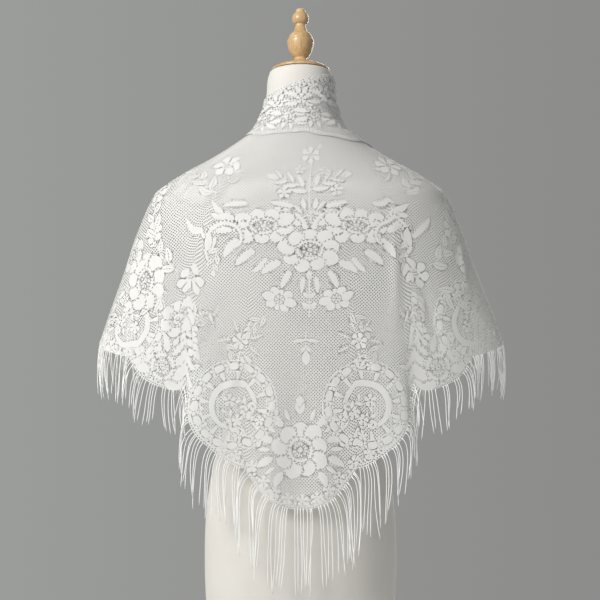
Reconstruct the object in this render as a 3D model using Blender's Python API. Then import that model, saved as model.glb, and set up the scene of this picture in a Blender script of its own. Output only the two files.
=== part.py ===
"""A triangular lace shawl with a fringed, scalloped hem, worn on a tabletop dress form.

Metres, +Z up. The origin is on the table, under the middle of the base. The shawl's back faces -Y and
its open front faces +Y, so +X is on the right of someone who looks at the back.
"""

import math
from collections import namedtuple

import bmesh
import bpy
import numpy as np
from mathutils import Vector
from mathutils.bvhtree import BVHTree

for old in list(bpy.data.objects):
    bpy.data.objects.remove(old, do_unlink=True)

# Clearances between pieces
SEAT_GAP = 0.0003
SEAM_GAP = 0.0003
REST_GAP = 0.0006

# Dress form: one row for each level, as half width, depth behind and in front of the axis
Section = namedtuple("Section", "z side back front squareness")
FORM = [
    Section(0.140, 0.104, 0.074, 0.070, 2.0),
    Section(0.144, 0.126, 0.092, 0.084, 2.1),
    Section(0.160, 0.140, 0.103, 0.091, 2.2),
    Section(0.233, 0.146, 0.108, 0.094, 2.3),
    Section(0.318, 0.148, 0.114, 0.095, 2.3),
    Section(0.388, 0.144, 0.116, 0.093, 2.3),
    Section(0.458, 0.131, 0.105, 0.090, 2.2),
    Section(0.518, 0.113, 0.086, 0.086, 2.1),
    Section(0.562, 0.109, 0.078, 0.086, 2.1),
    Section(0.605, 0.113, 0.082, 0.092, 2.1),
    Section(0.640, 0.121, 0.089, 0.103, 2.15),
    Section(0.680, 0.134, 0.096, 0.117, 2.2),
    Section(0.720, 0.157, 0.101, 0.125, 2.2),
    Section(0.777, 0.184, 0.104, 0.120, 2.25),
    Section(0.800, 0.198, 0.104, 0.112, 2.3),
    Section(0.825, 0.210, 0.101, 0.101, 2.4),
    Section(0.846, 0.217, 0.096, 0.092, 2.4),
    Section(0.862, 0.216, 0.091, 0.084, 2.3),
    Section(0.876, 0.204, 0.086, 0.077, 2.2),
    Section(0.893, 0.180, 0.081, 0.071, 2.1),
    Section(0.915, 0.139, 0.074, 0.066, 2.0),
    Section(0.938, 0.102, 0.067, 0.062, 2.0),
    Section(0.954, 0.080, 0.061, 0.060, 2.0),
    Section(0.969, 0.066, 0.056, 0.0585, 2.0),
    Section(0.988, 0.057, 0.052, 0.057, 2.0),
    Section(1.017, 0.0525, 0.0485, 0.056, 2.0),
    Section(1.037, 0.0510, 0.0470, 0.0545, 2.0),
    Section(1.046, 0.0485, 0.0447, 0.0520, 2.0),
    Section(1.051, 0.0450, 0.0415, 0.0480, 2.0),
    Section(1.0525, 0.0405, 0.0375, 0.0435, 2.0),
]
FORM_SIDES = 36
NECK_TILT = math.radians(8)
NECK_TILT_FROM = 0.985

# Neck cap and finial, in a frame that leans with the top of the neck
NECK_CENTRE_Y = 0.003
TurnedRing = namedtuple("TurnedRing", "height radius")
CAP = [
    TurnedRing(0.0000, 0.0439),
    TurnedRing(0.0007, 0.0446),
    TurnedRing(0.0026, 0.0444),
    TurnedRing(0.0055, 0.0400),
    TurnedRing(0.0095, 0.0305),
    TurnedRing(0.0130, 0.0205),
    TurnedRing(0.0150, 0.0130),
]
CAP_SIDES = 32
FINIAL = [
    TurnedRing(0.0000, 0.0112),
    TurnedRing(0.0012, 0.0112),
    TurnedRing(0.0050, 0.0099),
    TurnedRing(0.0091, 0.0135),
    TurnedRing(0.0173, 0.0178),
    TurnedRing(0.0254, 0.0199),
    TurnedRing(0.0320, 0.0209),
    TurnedRing(0.0344, 0.0203),
    TurnedRing(0.0352, 0.0187),
    TurnedRing(0.0372, 0.0188),
    TurnedRing(0.0433, 0.0163),
    TurnedRing(0.0476, 0.0116),
    TurnedRing(0.0499, 0.0103),
    TurnedRing(0.0564, 0.0081),
    TurnedRing(0.0596, 0.0080),
    TurnedRing(0.0615, 0.0104),
    TurnedRing(0.0652, 0.0124),
    TurnedRing(0.0694, 0.0130),
    TurnedRing(0.0740, 0.0121),
    TurnedRing(0.0775, 0.0099),
    TurnedRing(0.0793, 0.0077),
    TurnedRing(0.0825, 0.0073),
    TurnedRing(0.0847, 0.0055),
    TurnedRing(0.0862, 0.0025),
]
FINIAL_SIDES = 24

# Stand
BASE_RADIUS = 0.150
BASE_THICK = 0.006
BASE_EDGE = 0.0015
BASE_SIDES = 56
POST_RADIUS = 0.0125
POST_SIDES = 24

# Shawl: the hanging shape below the shoulders, read like the form's sections
CAPE = [
    Section(0.330, 0.350, 0.137, 0.166, 2.3),
    Section(0.390, 0.346, 0.136, 0.165, 2.3),
    Section(0.480, 0.336, 0.134, 0.163, 2.3),
    Section(0.560, 0.324, 0.132, 0.160, 2.3),
    Section(0.637, 0.306, 0.129, 0.155, 2.3),
    Section(0.698, 0.287, 0.125, 0.146, 2.3),
    Section(0.740, 0.272, 0.121, 0.137, 2.3),
    Section(0.800, 0.251, 0.113, 0.118, 2.25),
    Section(0.848, 0.231, 0.098, 0.094, 2.2),
    Section(0.866, 0.219, 0.090, 0.084, 2.2),
    Section(0.900, 0.150, 0.064, 0.054, 2.1),
    Section(0.950, 0.060, 0.040, 0.035, 2.0),
    Section(1.060, 0.020, 0.020, 0.020, 2.0),
]
LIFT_ROUNDING = 0.006
REACH = 0.012
CLEARING_ROUNDS = 14
WALL = 0.0015
FRONT_EDGE = 168

# Height of the turned edge round the neck: it sits lower on the left and falls to the open front
TopEdge = namedtuple("TopEdge", "azimuth z")
TOP = [
    TopEdge(-FRONT_EDGE, 0.945),
    TopEdge(-120, 0.985),
    TopEdge(-90, 1.004),
    TopEdge(-60, 1.011),
    TopEdge(-30, 1.021),
    TopEdge(0, 1.031),
    TopEdge(30, 1.039),
    TopEdge(60, 1.042),
    TopEdge(90, 1.038),
    TopEdge(120, 1.012),
    TopEdge(FRONT_EDGE, 0.950),
]

# Hem: one row for each lobe on one side, from the middle of the back to the front edge.
# The lobe runs from the notch before it to its own far notch, and hangs below the line between them.
Lobe = namedtuple("Lobe", "name columns notch_azimuth notch_z depth roundness")
BACK_POINT_Z = 0.452
HEM = [
    Lobe("back_point", 4, 32, BACK_POINT_Z, 0.060, 2.6),
    Lobe("back_medallion", 7, 57, 0.574, 0.031, 2.0),
    Lobe("back_flower", 4, 71.5, 0.613, 0.022, 3.0),
    Lobe("side_medallion", 7, 103, 0.688, 0.012, 2.0),
    Lobe("side_flower", 4, 118, 0.672, 0.028, 2.4),
    Lobe("front_medallion", 6, 146, 0.545, 0.032, 2.0),
    Lobe("front_tip", 5, FRONT_EDGE, 0.365, 0.022, 2.0),
]
LOBES_ON_BACK = 2
ROW_SHARES = [0, 0.06, 0.12, 0.18, 0.24, 0.30, 0.37, 0.45, 0.54, 0.63, 0.72, 0.81, 0.90, 1.0]

# Largest folds: azimuth of the crest, how far it stands out, how far it leans, half width, and the
# heights where it starts and where it is full
Fold = namedtuple("Fold", "azimuth out lean spread start_z full_z")
FOLDS = [
    Fold(48, 0.014, 2.5, 6.5, 0.720, 0.460),
    Fold(57.5, -0.014, -2.5, 5.5, 0.720, 0.500),
    Fold(83, 0.007, 0.0, 6.0, 0.760, 0.620),
    Fold(97, -0.008, 0.0, 6.0, 0.780, 0.660),
    Fold(111, 0.012, 2.0, 6.5, 0.780, 0.640),
    Fold(126, -0.012, -1.0, 7.0, 0.760, 0.560),
    Fold(141, 0.013, 1.0, 7.0, 0.740, 0.520),
    Fold(156, -0.010, 0.0, 6.0, 0.720, 0.460),
    Fold(-49.5, 0.017, -2.5, 6.5, 0.720, 0.460),
    Fold(-58.5, -0.014, 2.5, 5.5, 0.720, 0.500),
    Fold(-80, 0.006, 0.0, 7.0, 0.740, 0.600),
    Fold(-99, -0.009, 0.0, 7.0, 0.770, 0.640),
    Fold(-115, 0.013, -2.0, 6.5, 0.780, 0.640),
    Fold(-129, -0.010, 1.0, 6.0, 0.760, 0.560),
    Fold(-143, 0.012, -1.0, 7.0, 0.740, 0.520),
    Fold(-157, -0.009, 0.0, 6.0, 0.720, 0.460),
    Fold(14, 0.004, 0.0, 9.0, 0.640, 0.450),
    Fold(-17, 0.005, 0.0, 9.0, 0.660, 0.450),
]

# Turned-down long edge: where its free edge lies round the neck, and how far it stands off there
CollarEdge = namedtuple("CollarEdge", "azimuth z lift")
COLLAR = [
    CollarEdge(-168, 0.790, 0.004),
    CollarEdge(-150, 0.850, 0.006),
    CollarEdge(-120, 0.918, 0.003),
    CollarEdge(-90, 0.948, 0.001),
    CollarEdge(-60, 0.948, 0.001),
    CollarEdge(-30, 0.950, 0.002),
    CollarEdge(0, 0.951, 0.003),
    CollarEdge(30, 0.946, 0.004),
    CollarEdge(60, 0.941, 0.006),
    CollarEdge(90, 0.934, 0.007),
    CollarEdge(120, 0.908, 0.006),
    CollarEdge(150, 0.845, 0.006),
    CollarEdge(168, 0.785, 0.004),
]
COLLAR_SHARES = [0, 0.26, 0.50, 0.70, 0.86, 1.0]
COLLAR_GAP = 0.0004

# Fringe
STRAND_SPACING = 0.019
STRAND_WIDTH = 0.0014
STRAND_TIP = 0.0008
STRIP_GAP = 0.0006
STRIP_HEIGHT = 0.0022
STRIP_END_GAP = 0.0012
FRINGE_LENGTH = 0.086
POINT_FRINGE_LENGTH = 0.119
POINT_FRINGE_WITHIN = 34
LENGTH_SPREAD = 0.14
SWAY = 0.003
MITRE_LIMIT = 0.45
FLARE = 0.006
BEND_SHARE = 0.3
FRINGE_SEED = 7


def through(knots, values, at):
    """A smooth curve through a table's values, read at the places asked for."""
    knots, values = np.asarray(knots, float), np.asarray(values, float)
    slopes = np.gradient(values, knots)
    at = np.clip(at, knots[0], knots[-1])
    i = np.clip(np.searchsorted(knots, at, side="right") - 1, 0, len(knots) - 2)
    span = knots[i + 1] - knots[i]
    t = (at - knots[i]) / span
    before = (2 * t**3 - 3 * t**2 + 1) * values[i] + (t**3 - 2 * t**2 + t) * span * slopes[i]
    after = (3 * t**2 - 2 * t**3) * values[i + 1] + (t**3 - t**2) * span * slopes[i + 1]
    return before + after


def ease(share):
    share = np.clip(share, 0, 1)
    return share * share * (3 - 2 * share)


def ring_radius(sections, azimuth, z):
    """Distance from the axis to a rounded ring, whose shape follows the table from level to level."""
    knots = [row.z for row in sections]
    side = through(knots, [row.side for row in sections], z)
    back = through(knots, [row.back for row in sections], z)
    front = through(knots, [row.front for row in sections], z)
    power = through(knots, [row.squareness for row in sections], z)
    depth = np.where(np.cos(azimuth) > 0, back, front)
    across = (np.abs(np.sin(azimuth)) / side) ** power
    along = (np.abs(np.cos(azimuth)) / depth) ** power
    return (across + along) ** (-1 / power)


def on_ring(azimuth, radius, z):
    return np.stack([radius * np.sin(azimuth), -radius * np.cos(azimuth), z], axis=-1)


def material(name, colour, roughness, metallic=0.0):
    made = bpy.data.materials.new(name)
    made.use_nodes = True
    shader = made.node_tree.nodes["Principled BSDF"]
    shader.inputs["Base Color"].default_value = (*colour, 1)
    shader.inputs["Roughness"].default_value = roughness
    shader.inputs["Metallic"].default_value = metallic
    return made


def add_object(name, points, faces, made_of, smooth=True):
    """One closed body, with its faces turned outwards."""
    mesh = bpy.data.meshes.new(name)
    mesh.from_pydata([tuple(p) for p in points], [], faces)
    shape = bmesh.new()
    shape.from_mesh(mesh)
    bmesh.ops.recalc_face_normals(shape, faces=shape.faces)
    shape.to_mesh(mesh)
    shape.free()
    if smooth:
        mesh.shade_smooth()
        mesh.set_sharp_from_angle(angle=math.radians(40))
    mesh.materials.append(made_of)
    made = bpy.data.objects.new(name, mesh)
    bpy.context.scene.collection.objects.link(made)
    return made


def lathe(rings, sides):
    """Points and faces of a turned solid, from rows of height and radius, with flat ends."""
    turn = np.arange(sides) * 2 * math.pi / sides
    points = [(r * math.cos(a), r * math.sin(a), h) for h, r in rings for a in turn]
    faces = []
    for level in range(len(rings) - 1):
        for i in range(sides):
            j = (i + 1) % sides
            low, high = level * sides, (level + 1) * sides
            faces.append((low + i, low + j, high + j, high + i))
    faces.append(tuple(reversed(range(sides))))
    faces.append(tuple((len(rings) - 1) * sides + i for i in range(sides)))
    return points, faces


def form_points():
    """The form's rings of points. The top of the neck leans towards the front."""
    azimuths = np.arange(FORM_SIDES) * 2 * math.pi / FORM_SIDES
    levels = np.array([row.z for row in FORM])
    around, z = np.meshgrid(azimuths, levels)
    points = on_ring(around, ring_radius(FORM, around, z), z)
    lean = ease((z - NECK_TILT_FROM) / (levels[-1] - NECK_TILT_FROM)) * math.tan(NECK_TILT)
    points[..., 2] -= lean * (points[..., 1] - NECK_CENTRE_Y)
    return points


def make_form(cover):
    rings = form_points()
    levels, sides = rings.shape[:2]
    faces = []
    for level in range(levels - 1):
        for i in range(sides):
            j = (i + 1) % sides
            low, high = level * sides, (level + 1) * sides
            faces.append((low + i, low + j, high + j))
            faces.append((low + i, high + j, high + i))
    faces.append(tuple(reversed(range(sides))))
    faces.append(tuple((levels - 1) * sides + i for i in range(sides)))
    return add_object("form_torso", rings.reshape(-1, 3), faces, cover)


def make_neck_fittings(wood):
    """The round cap on the neck and the finial on the cap, on an empty that leans with the neck."""
    neck_top = bpy.data.objects.new("neck_top", None)
    neck_top.location = (0, NECK_CENTRE_Y, FORM[-1].z + SEAT_GAP)
    neck_top.rotation_euler = (-NECK_TILT, 0, 0)
    bpy.context.scene.collection.objects.link(neck_top)
    cap = add_object("neck_cap", *lathe(CAP, CAP_SIDES), wood)
    finial = add_object("finial", *lathe(FINIAL, FINIAL_SIDES), wood)
    finial.location = (0, 0, CAP[-1].height + SEAT_GAP)
    for piece in (cap, finial):
        piece.parent = neck_top


def make_stand(metal):
    base_rings = [
        (0, BASE_RADIUS - BASE_EDGE / 3),
        (BASE_EDGE / 3, BASE_RADIUS),
        (BASE_THICK - BASE_EDGE, BASE_RADIUS),
        (BASE_THICK - BASE_EDGE / 3, BASE_RADIUS - BASE_EDGE / 3),
        (BASE_THICK, BASE_RADIUS - BASE_EDGE),
    ]
    add_object("base", *lathe(base_rings, BASE_SIDES), metal)
    low, high = BASE_THICK + SEAT_GAP, FORM[0].z - SEAT_GAP
    add_object("post", *lathe([(low, POST_RADIUS), (high, POST_RADIUS)], POST_SIDES), metal)


def top_z(azimuth):
    return through([row.azimuth for row in TOP], [row.z for row in TOP], np.degrees(azimuth))


def hem_columns():
    """Signed azimuth and hem height of every column, from the left front edge to the right one."""
    azimuths, heights = [0.0], [BACK_POINT_Z - HEM[0].depth]
    before_azimuth, before_z = 0, BACK_POINT_Z
    for lobe in HEM:
        for step in range(1, lobe.columns + 1):
            share = step / lobe.columns
            bulge = 1 - share**lobe.roundness
            if lobe is not HEM[0]:
                bulge = 1 - abs(2 * share - 1) ** lobe.roundness
            azimuths.append(before_azimuth + share * (lobe.notch_azimuth - before_azimuth))
            chord = before_z + share * (lobe.notch_z - before_z)
            heights.append(chord - lobe.depth * bulge)
        before_azimuth, before_z = lobe.notch_azimuth, lobe.notch_z
    left = [-a for a in azimuths[:0:-1]]
    return np.radians(left + azimuths), np.array(heights[:0:-1] + heights)


def cape_surface(azimuth, z):
    """The cloth's inner face: it lies on the form above and hangs free of it below, with its folds."""
    on_form = ring_radius(FORM, azimuth, z) + REST_GAP
    hanging = ring_radius(CAPE, azimuth, z)
    apart = on_form - hanging
    radius = (on_form + hanging + np.sqrt(apart**2 + LIFT_ROUNDING**2)) / 2
    turned = azimuth.copy()
    for fold in FOLDS:
        from_crest = (np.degrees(azimuth) - fold.azimuth) / fold.spread
        share = np.exp(-(from_crest**2)) * ease((fold.start_z - z) / (fold.start_z - fold.full_z))
        radius = radius + fold.out * share
        turned = turned + np.radians(fold.lean) * share
    return on_ring(turned, radius, z)


def grid_triangles(rows, columns):
    """Two triangles for each cell of a grid whose points run row by row."""
    triangles = []
    for r in range(rows - 1):
        for c in range(columns - 1):
            a = r * columns + c
            triangles.append((a, a + columns, a + columns + 1))
            triangles.append((a, a + columns + 1, a + 1))
    return triangles


def grid_normals(grid):
    """Outward unit normals of a grid of points."""
    across = np.gradient(grid, axis=1)
    down = np.gradient(grid, axis=0)
    normals = np.cross(down, across)
    return normals / np.linalg.norm(normals, axis=-1, keepdims=True)


def hold_clear(grid, solid_points, solid_triangles, gap):
    """Moves a grid's points outwards until its triangles stand at least a gap from a solid."""
    tree = BVHTree.FromPolygons([tuple(p) for p in solid_points], solid_triangles)
    cells = np.array(grid_triangles(*grid.shape[:2]))
    points = grid.reshape(-1, 3).copy()
    corner_shares = np.array(
        [(1, 0, 0), (0.5, 0.5, 0), (0, 0.5, 0.5), (0.5, 0, 0.5), (1 / 3, 1 / 3, 1 / 3)]
        + [(0.7, 0.15, 0.15), (0.15, 0.7, 0.15), (0.15, 0.15, 0.7)]
    )
    for _ in range(CLEARING_ROUNDS):
        normals = grid_normals(points.reshape(grid.shape)).reshape(-1, 3)
        moved = np.zeros(len(points))
        samples = np.einsum("sk,tkx->tsx", corner_shares, points[cells])
        for triangle, places in zip(cells, samples):
            for place in places:
                near, facing, _, _ = tree.find_nearest(Vector(place), REACH)
                if near is not None:
                    short = gap - (Vector(place) - near).dot(facing)
                    moved[triangle] = np.maximum(moved[triangle], short)
        cloth = BVHTree.FromPolygons([tuple(p) for p in points], cells.tolist())
        for place in solid_points:
            near, facing, cell, _ = cloth.find_nearest(Vector(place), REACH)
            if near is not None:
                outwards = facing * math.copysign(1, facing.dot(Vector(normals[cells[cell][0]])))
                short = gap + (Vector(place) - near).dot(outwards)
                moved[cells[cell]] = np.maximum(moved[cells[cell]], min(short, REACH))
        if moved.max() <= 1e-6:
            break
        points += normals * moved[:, None]
    return points.reshape(grid.shape)


def make_wall(name, inner, outer, made_of):
    """A closed wall between two grids of points."""
    rows, columns = inner.shape[:2]
    count = rows * columns
    faces = [tuple(reversed(t)) for t in grid_triangles(rows, columns)]
    faces += [tuple(i + count for i in t) for t in grid_triangles(rows, columns)]
    rim = [c for c in range(columns)]
    rim += [r * columns + columns - 1 for r in range(1, rows)]
    rim += [(rows - 1) * columns + c for c in range(columns - 2, -1, -1)]
    rim += [r * columns for r in range(rows - 2, 0, -1)]
    for i, j in zip(rim, rim[1:] + rim[:1]):
        faces.append((i, j, j + count))
        faces.append((i, j + count, i + count))
    points = np.concatenate([inner.reshape(-1, 3), outer.reshape(-1, 3)])
    return add_object(name, points, faces, made_of)


def drawn_in(grid, at_start, at_end):
    """Moves the first or last column of points in by half a seam's gap."""
    grid = grid.copy()
    for needed, edge, inside in ((at_start, 0, 1), (at_end, -1, -2)):
        if needed:
            way = grid[:, inside] - grid[:, edge]
            grid[:, edge] += way / np.linalg.norm(way, axis=1, keepdims=True) * SEAM_GAP / 2
    return grid


def shawl_grids(form):
    """Inner and outer faces of the whole shawl, as grids from the turned edge down to the hem."""
    azimuths, hem = hem_columns()
    shares = np.array(ROW_SHARES)[:, None]
    top = top_z(azimuths)[None, :]
    z = top + (hem[None, :] - top) * shares
    inner = cape_surface(np.broadcast_to(azimuths, z.shape), z)
    solid = [v.co[:] for v in form.data.vertices]
    triangles = [p.vertices[:] for p in form.data.polygons]
    inner = hold_clear(inner, solid, triangles, REST_GAP)
    return azimuths, inner, inner + grid_normals(inner) * WALL


def make_shawl(inner, outer, lace):
    """The back and the two wings, parted by a seam's gap on the far side of each large fold."""
    middle = inner.shape[1] // 2
    seam = sum(lobe.columns for lobe in HEM[:LOBES_ON_BACK])
    spans = {
        "shawl_wing_left": (0, middle - seam, False, True),
        "shawl_back": (middle - seam, middle + seam, True, True),
        "shawl_wing_right": (middle + seam, inner.shape[1] - 1, True, False),
    }
    for name, (first, last, at_start, at_end) in spans.items():
        faces = [drawn_in(g[:, first : last + 1], at_start, at_end) for g in (inner, outer)]
        make_wall(name, *faces, lace)
    return spans


def make_collar(azimuths, outer, lace):
    """The long edge turned down over the shawl's top, moved out from its points."""
    rows = [row.azimuth for row in COLLAR]
    degrees = np.degrees(azimuths)
    free_z = through(rows, [row.z for row in COLLAR], degrees)
    lift = through(rows, [row.lift for row in COLLAR], degrees)
    shares = np.array(COLLAR_SHARES)[:, None]
    top = top_z(azimuths)[None, :]
    z = top + (free_z[None, :] - top) * shares
    grid = cape_surface(np.broadcast_to(azimuths, z.shape), z)
    stand_off = WALL + COLLAR_GAP + lift[None, :] * shares**1.5
    grid = grid + grid_normals(grid) * stand_off[..., None]
    triangles = grid_triangles(*outer.shape[:2])
    inner = hold_clear(grid, outer.reshape(-1, 3), triangles, COLLAR_GAP)
    make_wall("shawl_collar", inner, inner + grid_normals(inner) * WALL, lace)


def fringe_sections(edge, down, out):
    """Places along a hem where the strip has a section, and which stretches carry a strand."""
    places, roots = [], []
    for i in range(len(edge) - 1):
        length = np.linalg.norm(edge[i + 1] - edge[i])
        count = max(1, round(length / STRAND_SPACING))
        half = STRAND_WIDTH / 2 / length
        shares = [0.0]
        for k in range(count):
            middle = (k + 0.5) / count
            roots.append(len(places) + len(shares))
            shares += [middle - half, middle + half]
        for share in shares:
            places.append([a[i] + share * (a[i + 1] - a[i]) for a in (edge, down, out)])
    places.append([a[-1] for a in (edge, down, out)])
    return places, roots


def hem_frames(inner, outer):
    """The middle of the hem's edge at each column, with the ways down out of it and off its face."""
    hem = (inner[-1] + outer[-1]) / 2
    out = (outer[-1] - inner[-1]) / WALL
    along = np.gradient(hem, axis=0)
    along -= (along * out).sum(1, keepdims=True) * out
    along /= np.linalg.norm(along, axis=1, keepdims=True)
    straight = np.diff(hem, axis=0)
    straight /= np.linalg.norm(straight, axis=1, keepdims=True)
    straight = np.concatenate([straight, straight[-1:]])
    mitre = 1 / np.maximum((straight * along).sum(1, keepdims=True), MITRE_LIMIT)
    return hem, np.cross(along, out) * mitre, out


def make_fringe(name, frames, first, last, thread, rng):
    """A narrow strip just below the hem, with its strands drawn down out of its lower face."""
    hem, down, out = (f[first : last + 1].copy() for f in frames)
    for end, inside in ((0, 1), (-1, -2)):
        way_in = hem[inside] - hem[end]
        hem[end] += way_in / np.linalg.norm(way_in) * STRIP_END_GAP
    places, roots = fringe_sections(hem, down, out)
    points, faces = [], []
    for edge, way, normal in places:
        low = edge + way * (STRIP_GAP + STRIP_HEIGHT)
        points.append(edge + way * STRIP_GAP)
        points.append(low + normal * STRAND_WIDTH / 2)
        points.append(low - normal * STRAND_WIDTH / 2)
    for s in range(len(places) - 1):
        a, b = 3 * s, 3 * s + 3
        faces += [(a, a + 1, b + 1), (a, b + 1, b), (a, b, b + 2), (a, b + 2, a + 2)]
        if s not in roots:
            faces += [(a + 1, a + 2, b + 2), (a + 1, b + 2, b + 1)]
            continue
        edge, way, normal = places[s]
        turn = abs(math.degrees(math.atan2(edge[0], -edge[1])))
        length = POINT_FRINGE_LENGTH if turn < POINT_FRINGE_WITHIN else FRINGE_LENGTH
        length *= 1 + LENGTH_SPREAD * rng.uniform(-1, 1)
        sway = np.array([rng.uniform(-SWAY, SWAY), rng.uniform(-SWAY, SWAY), 0])
        down_way = np.array([0, 0, -1.0])
        root = (points[a + 1] + points[a + 2] + points[b + 1] + points[b + 2]) / 4
        flare = way / np.linalg.norm(way) * FLARE
        bend = root + flare + down_way * length * BEND_SHARE + sway * BEND_SHARE
        tip = root + flare + down_way * length + sway
        ring = [a + 1, b + 1, b + 2, a + 2]
        for centre, width in ((bend, STRAND_WIDTH), (tip, STRAND_TIP)):
            start = len(points)
            side = points[ring[1]] - points[ring[0]]
            side /= np.linalg.norm(side)
            for u, v in ((-1, 1), (1, 1), (1, -1), (-1, -1)):
                points.append(centre + (side * u + normal * v) * width / 2)
            upper, ring = ring, [start, start + 1, start + 2, start + 3]
            for k in range(4):
                m = (k + 1) % 4
                faces += [(upper[k], upper[m], ring[m]), (upper[k], ring[m], ring[k])]
        faces += [(ring[0], ring[1], ring[2]), (ring[0], ring[2], ring[3])]
    faces.append((0, 2, 1))
    end = 3 * (len(places) - 1)
    faces.append((end, end + 1, end + 2))
    add_object(name, points, faces, thread, smooth=False)


def make_all_fringe(inner, outer, spans, thread):
    rng = np.random.default_rng(FRINGE_SEED)
    frames = hem_frames(inner, outer)
    for cloth, (first, last, _, _) in spans.items():
        make_fringe(cloth.replace("shawl", "fringe"), frames, first, last, thread, rng)


cover = material("form_cover", (0.80, 0.78, 0.74), 0.75)
beech = material("turned_beech", (0.56, 0.38, 0.21), 0.45)
steel = material("painted_steel", (0.75, 0.74, 0.72), 0.40)
lace = material("white_lace", (0.86, 0.86, 0.88), 0.85)
thread = material("fringe_thread", (0.88, 0.88, 0.89), 0.70)

form_torso = make_form(cover)
make_neck_fittings(beech)
make_stand(steel)
column_azimuths, shawl_inner, shawl_outer = shawl_grids(form_torso)
node_spans = make_shawl(shawl_inner, shawl_outer, lace)
make_collar(column_azimuths, shawl_outer, lace)
make_all_fringe(shawl_inner, shawl_outer, node_spans, thread)
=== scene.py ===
"""A white lace shawl worn on a tabletop dress form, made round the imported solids.

Metres, +Z up. The shawl's back faces -Y, its open front +Y, and +X is on the right of someone who looks
at the back. Sizes of thread, net and motifs are in the cloth's own flat measure.
"""

import math
from collections import namedtuple

import bpy
import numpy as np
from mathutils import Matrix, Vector
from mathutils.bvhtree import BVHTree


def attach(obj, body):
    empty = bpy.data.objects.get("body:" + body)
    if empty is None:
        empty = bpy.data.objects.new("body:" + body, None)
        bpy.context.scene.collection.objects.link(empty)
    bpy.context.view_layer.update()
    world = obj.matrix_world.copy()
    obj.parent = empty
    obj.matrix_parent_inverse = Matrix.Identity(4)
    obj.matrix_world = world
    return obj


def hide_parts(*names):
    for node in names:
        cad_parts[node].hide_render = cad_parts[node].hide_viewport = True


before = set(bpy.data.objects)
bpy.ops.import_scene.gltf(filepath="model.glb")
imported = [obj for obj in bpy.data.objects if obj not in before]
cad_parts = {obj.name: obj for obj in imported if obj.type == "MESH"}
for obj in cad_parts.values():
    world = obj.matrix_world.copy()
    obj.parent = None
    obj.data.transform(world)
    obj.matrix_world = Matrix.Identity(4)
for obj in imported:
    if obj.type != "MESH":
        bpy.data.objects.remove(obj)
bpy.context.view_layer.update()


# Torso
# The form is a hollow moulded torso under one tight tube of warm white cotton jersey, pulled smooth. Its
# knit is too fine to see as loops from a step away: it gives a soft matt white, a little uneven.
Section = namedtuple("Section", "z side back front squareness")
TORSO = [
    Section(0.140, 0.104, 0.074, 0.070, 2.0),
    Section(0.144, 0.126, 0.092, 0.084, 2.1),
    Section(0.160, 0.140, 0.103, 0.091, 2.2),
    Section(0.233, 0.146, 0.108, 0.094, 2.3),
    Section(0.318, 0.148, 0.114, 0.095, 2.3),
    Section(0.388, 0.144, 0.116, 0.093, 2.3),
    Section(0.458, 0.131, 0.105, 0.090, 2.2),
    Section(0.518, 0.113, 0.086, 0.086, 2.1),
    Section(0.562, 0.109, 0.078, 0.086, 2.1),
    Section(0.605, 0.113, 0.082, 0.092, 2.1),
    Section(0.640, 0.121, 0.089, 0.103, 2.15),
    Section(0.680, 0.134, 0.096, 0.117, 2.2),
    Section(0.720, 0.157, 0.101, 0.125, 2.2),
    Section(0.777, 0.184, 0.104, 0.120, 2.25),
    Section(0.800, 0.198, 0.104, 0.112, 2.3),
    Section(0.825, 0.210, 0.101, 0.101, 2.4),
    Section(0.846, 0.217, 0.096, 0.092, 2.4),
    Section(0.862, 0.216, 0.091, 0.084, 2.3),
    Section(0.876, 0.204, 0.086, 0.077, 2.2),
    Section(0.893, 0.180, 0.081, 0.071, 2.1),
    Section(0.915, 0.139, 0.074, 0.066, 2.0),
    Section(0.938, 0.102, 0.067, 0.062, 2.0),
    Section(0.954, 0.080, 0.061, 0.060, 2.0),
    Section(0.969, 0.066, 0.056, 0.0585, 2.0),
    Section(0.988, 0.057, 0.052, 0.057, 2.0),
    Section(1.017, 0.0525, 0.0485, 0.056, 2.0),
    Section(1.037, 0.0510, 0.0470, 0.0545, 2.0),
    Section(1.046, 0.0485, 0.0447, 0.0520, 2.0),
    Section(1.051, 0.0450, 0.0415, 0.0480, 2.0),
    Section(1.0525, 0.0405, 0.0375, 0.0435, 2.0),
]
TORSO_SIDES = 120
TORSO_STEP = 0.008
NECK_TILT = math.radians(8)
NECK_TILT_FROM = 0.985
NECK_CENTRE_Y = 0.003
JERSEY_WHITE = "#d5d3cf"
JERSEY_SHADE = "#cdcac4"
JERSEY_RIB = 0.0011  # true wales are 0.6 mm apart; drawn coarser so that they show


def through(knots, values, at):
    """A smooth curve through a table's values, read at the places asked for."""
    knots, values = np.asarray(knots, float), np.asarray(values, float)
    slopes = np.gradient(values, knots, axis=0)
    at = np.clip(at, knots[0], knots[-1])
    i = np.clip(np.searchsorted(knots, at, side="right") - 1, 0, len(knots) - 2)
    span = knots[i + 1] - knots[i]
    t = (at - knots[i]) / span
    if values.ndim == 2:
        t, span = t[:, None], span[:, None]
    before = (2 * t**3 - 3 * t**2 + 1) * values[i] + (t**3 - 2 * t**2 + t) * span * slopes[i]
    after = (3 * t**2 - 2 * t**3) * values[i + 1] + (t**3 - t**2) * span * slopes[i + 1]
    return before + after


def ease(share):
    share = np.clip(share, 0, 1)
    return share * share * (3 - 2 * share)


def ring_radius(sections, azimuth, z):
    """Distance from the axis to a rounded ring, whose shape follows the table from level to level."""
    knots = [row.z for row in sections]
    side = through(knots, [row.side for row in sections], z)
    back = through(knots, [row.back for row in sections], z)
    front = through(knots, [row.front for row in sections], z)
    power = through(knots, [row.squareness for row in sections], z)
    depth = np.where(np.cos(azimuth) > 0, back, front)
    across = (np.abs(np.sin(azimuth)) / side) ** power
    along = (np.abs(np.cos(azimuth)) / depth) ** power
    return (across + along) ** (-1 / power)


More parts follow.
